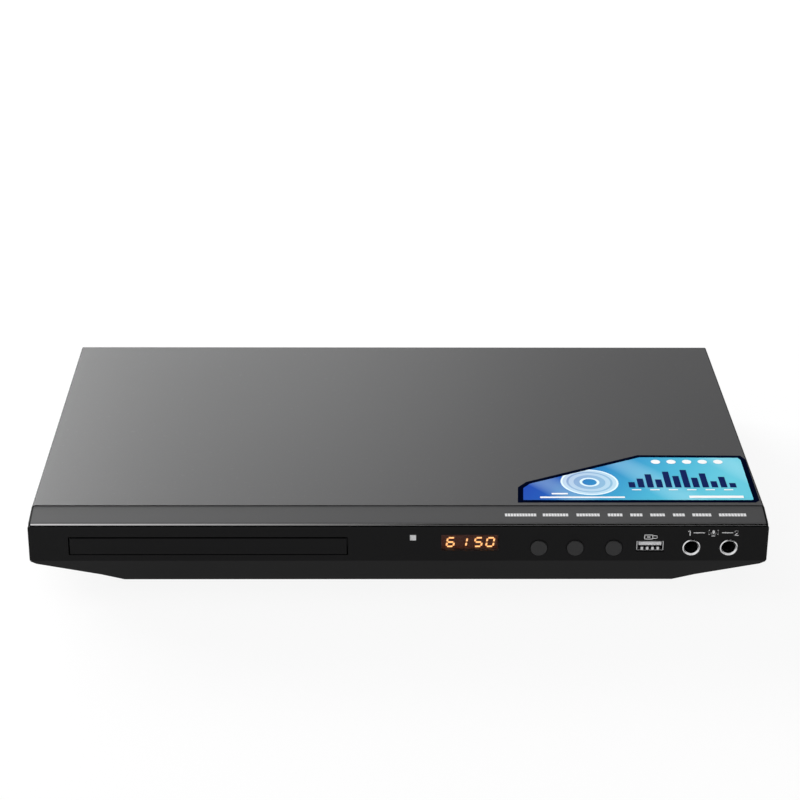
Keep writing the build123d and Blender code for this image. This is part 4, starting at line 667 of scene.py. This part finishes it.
white_ink = ink("white_ink", (0.9, 0.9, 0.9))
shapes = []
for start, end in MARK_SPANS:
    count = round((end - start) / MARK_PITCH)
    pitch = (end - start) / count
    for i in range(count):
        x0, x1 = start + i * pitch, start + (i + 1) * pitch - MARK_GAP
        for near in (MARK_FRONT, MARK_FRONT + MARK_DEEP / 2):
            far = near + MARK_DEEP / 2
            shapes.append([(x0, near), (x1, near), (x1, far), (x0, far)])
add_print("trim_marks", shapes, on_slope, white_ink)


# Socket marks: the plain numbers 1 and 2 over the jacks with a line from each, a
# microphone between them, and a memory stick over the port next to them.
STROKE, THIN_STROKE, FINE_STROKE = 0.42, 0.35, 0.3
NUMBER_LOW_Z, NUMBER_TOP_Z = 30.9, 33.5
ONE_X, ONE_FLAG = 141.7, (140.9, 33.0)
TWO_X, TWO_R, TWO_FOOT = 164.3, 0.75, (163.5, 165.2)
LINE_Z, LINE_SPANS = 32.3, ((143.4, 148.8), (157.2, 162.7))
MIC_X, CAPSULE_TOP_Z, CAPSULE_LOW_Z, CAPSULE_R = 153.1, 33.1, 32.3, 0.6
CRADLE_Z, CRADLE_R, STEM_Z, FOOT_Z, FOOT_HALF = 32.2, 1.15, (31.0, 30.6), 30.55, 0.9
WAVE_Z, WAVE_R, WAVE_ANGLE = 32.6, 2.4, 28
STICK_BODY, STICK_PLUG = (119.6, 28.9, 123.6, 31.1), (123.9, 29.3, 125.7, 30.7)
STICK_MARK, STICK_MARK_WIDE = ((120.8, 30.0), (122.4, 30.0)), 0.6


def outline(points, wide=STROKE, closed=False):
    """Bars along a run of points, which meet at the corners."""
    ends = points[1:] + points[:1] if closed else points[1:]
    return [bar(start, end, wide, wide / 2) for start, end in zip(points, ends)]


def box_outline(box, wide=STROKE, closed=True):
    u0, v0, u1, v1 = box
    return outline([(u0, v0), (u1, v0), (u1, v1), (u0, v1)], wide, closed)


def arc(x, z, radius, start, end, steps):
    angles = [math.radians(start + (end - start) * i / steps) for i in range(steps + 1)]
    return [(x + radius * math.cos(a), z + radius * math.sin(a)) for a in angles]


def on_face(u, v):
    return u, FRONT_Y - INK_LIFT, v


shapes = outline([ONE_FLAG, (ONE_X, NUMBER_TOP_Z), (ONE_X, NUMBER_LOW_Z)])
hook = arc(TWO_X, NUMBER_TOP_Z - TWO_R, TWO_R, 170, -40, 7)
shapes += outline(hook + [(x, NUMBER_LOW_Z) for x in TWO_FOOT])
shapes += [bar((start, LINE_Z), (end, LINE_Z), STROKE) for start, end in LINE_SPANS]
add_print("jack_numbers", shapes, on_face, white_ink)

capsule = arc(MIC_X, CAPSULE_TOP_Z, CAPSULE_R, 0, 180, 8) + arc(MIC_X, CAPSULE_LOW_Z, CAPSULE_R, 180, 360, 8)
shapes = [capsule] + outline(arc(MIC_X, CRADLE_Z, CRADLE_R, 180, 360, 10), FINE_STROKE)
shapes.append(bar((MIC_X, STEM_Z[0]), (MIC_X, STEM_Z[1]), FINE_STROKE))
shapes.append(bar((MIC_X - FOOT_HALF, FOOT_Z), (MIC_X + FOOT_HALF, FOOT_Z), THIN_STROKE))
for middle in (180, 0):
    wave = arc(MIC_X, WAVE_Z, WAVE_R, middle - WAVE_ANGLE, middle + WAVE_ANGLE, 6)
    shapes += outline(wave, THIN_STROKE)
add_print("microphone_mark", shapes, on_face, white_ink)

shapes = box_outline(STICK_BODY) + box_outline(STICK_PLUG, THIN_STROKE, closed=False)
shapes.append(bar(*STICK_MARK, STICK_MARK_WIDE))
add_print("memory_stick_mark", shapes, on_face, white_ink)


# Sticker: a cut sheet with a navy border on the lid's front right corner. Its print is
# a blue to pale cyan wash with light bands, a disc of fine rings, and plain bars and dots.
STICKER_EDGE = ((58.6, 17.4), (59.7, 34.3), (64.1, 40.3), (123.7, 71.6), (176.7, 71.0), (178.7, 66.3),
                (178.1, 19.6), (175.9, 17.4))
STICKER_BORDER, LID_TOP, PAPER = 2.7, 40.0, 0.08
WASH_X, WASH_DEPTH, WASH_LIFT = (58.0, 178.0), (72.0, 17.0), 0.22
WASH = ((0.05, (0.013, 0.035, 0.36)), (0.3, (0.016, 0.09, 0.42)), (0.5, (0.035, 0.27, 0.53)),
        (0.78, (0.075, 0.44, 0.62)), (1.0, (0.13, 0.54, 0.67)))
BAND_TURN, BAND_SCALE, BAND_BEND, BAND_START, BAND_SHARE = math.radians(-35.0), 7.0, 1.5, 0.6, 0.2
BAND_COLOUR, DISC_COLOUR = (0.55, 0.85, 0.92), (0.78, 0.92, 0.96)
DISC_X, DISC_DEPTH, DISC_HUB, DISC_EDGE = 96.0, 40.0, 3.6, 14.5
DISC_SHARES = ((0.0, 0.0), (DISC_HUB / DISC_EDGE, 0.9), (0.34, 0.3), (0.55, 0.55), (0.72, 0.3), (0.8, 0.6),
               (0.93, 0.95), (1.0, 0.0))
LEVELS = (6, 10, 15, 9, 18, 13, 20, 11, 16, 7, 12, 5)
LEVEL_X, LEVEL_DEPTH, LEVEL_PITCH, LEVEL_WIDE = 117.0, 34.0, 4.6, 3.2
DASH_X, DASH_DEPTH, DASH_PITCH, DASH_LONG, DASH_WIDE, DASH_COUNT = 116.4, 31.4, 9.2, 4.6, 1.0, 6
DOT_X, DOT_DEPTH, DOT_PITCH, DOT_R, DOT_COUNT = 132.0, 63.5, 8.0, 2.4, 5
LINES = (((70.0, 23.0), (112.0, 23.0), 1.6), ((76.0, 27.0), (84.0, 27.0), 1.6),
         ((144.0, 23.5), (171.0, 23.5), 2.6))


def inset(edge, distance):
    """The outline of a convex shape, moved inwards on every side."""
    points = [Vector(p) for p in edge]
    middle = sum(points, Vector((0.0, 0.0))) / len(points)
    moved = []
    for before, here, after in zip(points[-1:] + points[:-1], points, points[1:] + points[:1]):
        lines = []
        for start, end in ((before, here), (here, after)):
            along = (end - start).normalized()
            inward = Vector((-along.y, along.x))
            if inward.dot(middle - start) < 0:
                inward = -inward
            lines.append((inward, inward.dot(start) + distance))
        (n1, d1), (n2, d2) = lines
        spread = n1.x * n2.y - n1.y * n2.x
        moved.append(Vector(((d1 * n2.y - d2 * n1.y) / spread, (n1.x * d2 - n2.x * d1) / spread)))
    return moved


def colour_ramp(tree, value, stops, steps="LINEAR"):
    """The colours that a value runs through; each stop is a place from 0 to 1 and an RGB triple."""
    node = joined(tree, "ShaderNodeValToRGB", "Fac", value)
    ramp = node.color_ramp
    ramp.interpolation = steps
    for element, (position, colour) in zip(ramp.elements, (stops[0], stops[-1])):
        element.position, element.color = position, (*colour, 1.0)
    for position, colour in stops[1:-1]:
        ramp.elements.new(position).color = (*colour, 1.0)
    return node.outputs["Color"]


def sticker_wash(tree):
    """Violet blue on the left to pale cyan on the right and in front, under slanted light bands."""
    place = axes_of(tree)
    across = stepped(tree, place["X"], WASH_X[0] * MM, WASH_X[1] * MM)
    back, front = ((FRONT_Y + depth) * MM for depth in WASH_DEPTH)
    nearer = stepped(tree, place["Y"], back, front, WASH_LIFT)
    wash = colour_ramp(tree, math_of(tree, "ADD", across, nearer), WASH)
    slanted = joined(tree, "ShaderNodeMapping", "Vector", place_of(tree))
    slanted.inputs["Rotation"].default_value = (0.0, 0.0, BAND_TURN)
    bands = joined(tree, "ShaderNodeTexWave", "Vector", slanted.outputs["Vector"])
    bands.inputs["Scale"].default_value = BAND_SCALE
    bands.inputs["Distortion"].default_value = BAND_BEND
    light = stepped(tree, bands.outputs["Fac"], BAND_START, 1.0, BAND_SHARE)
    return colour_mix(tree, light, wash, BAND_COLOUR)


def disc_rings(tree):
    """The share of pale ink at each distance from the printed disc's hub."""
    from_hub = joined(tree, "ShaderNodeVectorMath", 0, place_of(tree))
    from_hub.operation = "SUBTRACT"
    from_hub.inputs[1].default_value = (DISC_X * MM, (FRONT_Y + DISC_DEPTH) * MM, (LID_TOP + PAPER) * MM)
    reach = joined(tree, "ShaderNodeVectorMath", 0, from_hub.outputs["Vector"])
    reach.operation = "LENGTH"
    outwards = stepped(tree, reach.outputs["Value"], 0.0, DISC_EDGE * MM)
    return colour_ramp(tree, outwards, [(place, (share,) * 3) for place, share in DISC_SHARES], "CONSTANT")


def sticker_print():
    material, tree, shader = start_material("sticker_print")
    body = colour_mix(tree, disc_rings(tree), sticker_wash(tree), DISC_COLOUR)
    skin = place_group(tree, grain_group, Grain_Size=0.3 * MM, Cloud_Size=10 * MM)
    coat(tree, shader, body, ranged(tree, skin["Clouds"], 0.4, 0.5), 0.005)
    return material


def on_lid(lift):
    return lambda u, v: (u, FRONT_Y + v, LID_TOP + lift)


navy_ink = ink("navy_ink", (0.0005, 0.0022, 0.012), 0.6, 0.0)
blue_ink = ink("blue_ink", (0.002, 0.012, 0.09), 0.5, 0.01)
under_paper, on_paper, over_paper = on_lid(PAPER / 2), on_lid(PAPER), on_lid(PAPER * 1.5)
border = [Vector(p) for p in STICKER_EDGE]
add_print("sticker_border", [border], under_paper, navy_ink)
sheet = inset(STICKER_EDGE, STICKER_BORDER)
add_print("sticker_sheet", [sheet], on_paper, sticker_print())

shapes = []
for i, high in enumerate(LEVELS):
    x = LEVEL_X + LEVEL_PITCH * i
    shapes.append(bar((x, LEVEL_DEPTH), (x, LEVEL_DEPTH + high), LEVEL_WIDE))
add_print("sticker_levels", shapes, over_paper, blue_ink)

shapes = []
for i in range(DASH_COUNT):
    x = DASH_X + DASH_PITCH * i
    shapes.append(bar((x, DASH_DEPTH), (x + DASH_LONG, DASH_DEPTH), DASH_WIDE))
shapes += [arc(DOT_X + DOT_PITCH * i, DOT_DEPTH, DOT_R, 0, 345, 23) for i in range(DOT_COUNT)]
shapes += [bar(*line) for line in LINES]
add_print("sticker_marks", shapes, over_paper, white_ink)


# Rear colours: a printed ring round each of the eight sleeves, in the usual colours of
# picture and sound plugs.
PANEL_REAR_Y = 103.45
SLEEVE_X0, SLEEVE_PITCH, SLEEVE_LOW_Z, SLEEVE_RISE = 1.5, 14.0, 18.4, 13.0
RING_INNER, RING_OUTER, RING_STEPS = 4.6, 5.2, 32
RING_INKS = {"yellow": (0.72, 0.5, 0.02), "white": (0.78, 0.78, 0.76), "red": (0.55, 0.02, 0.02),
             "green": (0.03, 0.3, 0.06), "blue": (0.02, 0.08, 0.5), "orange": (0.75, 0.2, 0.02)}
RING_ORDER = (("yellow", "white", "red", "orange"), ("green", "blue", "red", "white"))


def ring_shapes(x, z):
    """A flat ring, as quads between two circles."""
    inner, outer = (arc(x, z, radius, 0, 360, RING_STEPS) for radius in (RING_INNER, RING_OUTER))
    return [[inner[i], outer[i], outer[i + 1], inner[i + 1]] for i in range(RING_STEPS)]


def on_rear(u, v):
    return u, PANEL_REAR_Y + INK_LIFT, v


for colour_name, colour in RING_INKS.items():
    shapes = []
    for row, names in enumerate(RING_ORDER):
        for column, name in enumerate(names):
            if name == colour_name:
                shapes += ring_shapes(SLEEVE_X0 + SLEEVE_PITCH * column, SLEEVE_LOW_Z + SLEEVE_RISE * row)
    ring_ink = ink(colour_name + "_ink", colour)
    add_print("sleeve_rings_" + colour_name, shapes, on_rear, ring_ink)


low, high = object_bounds()
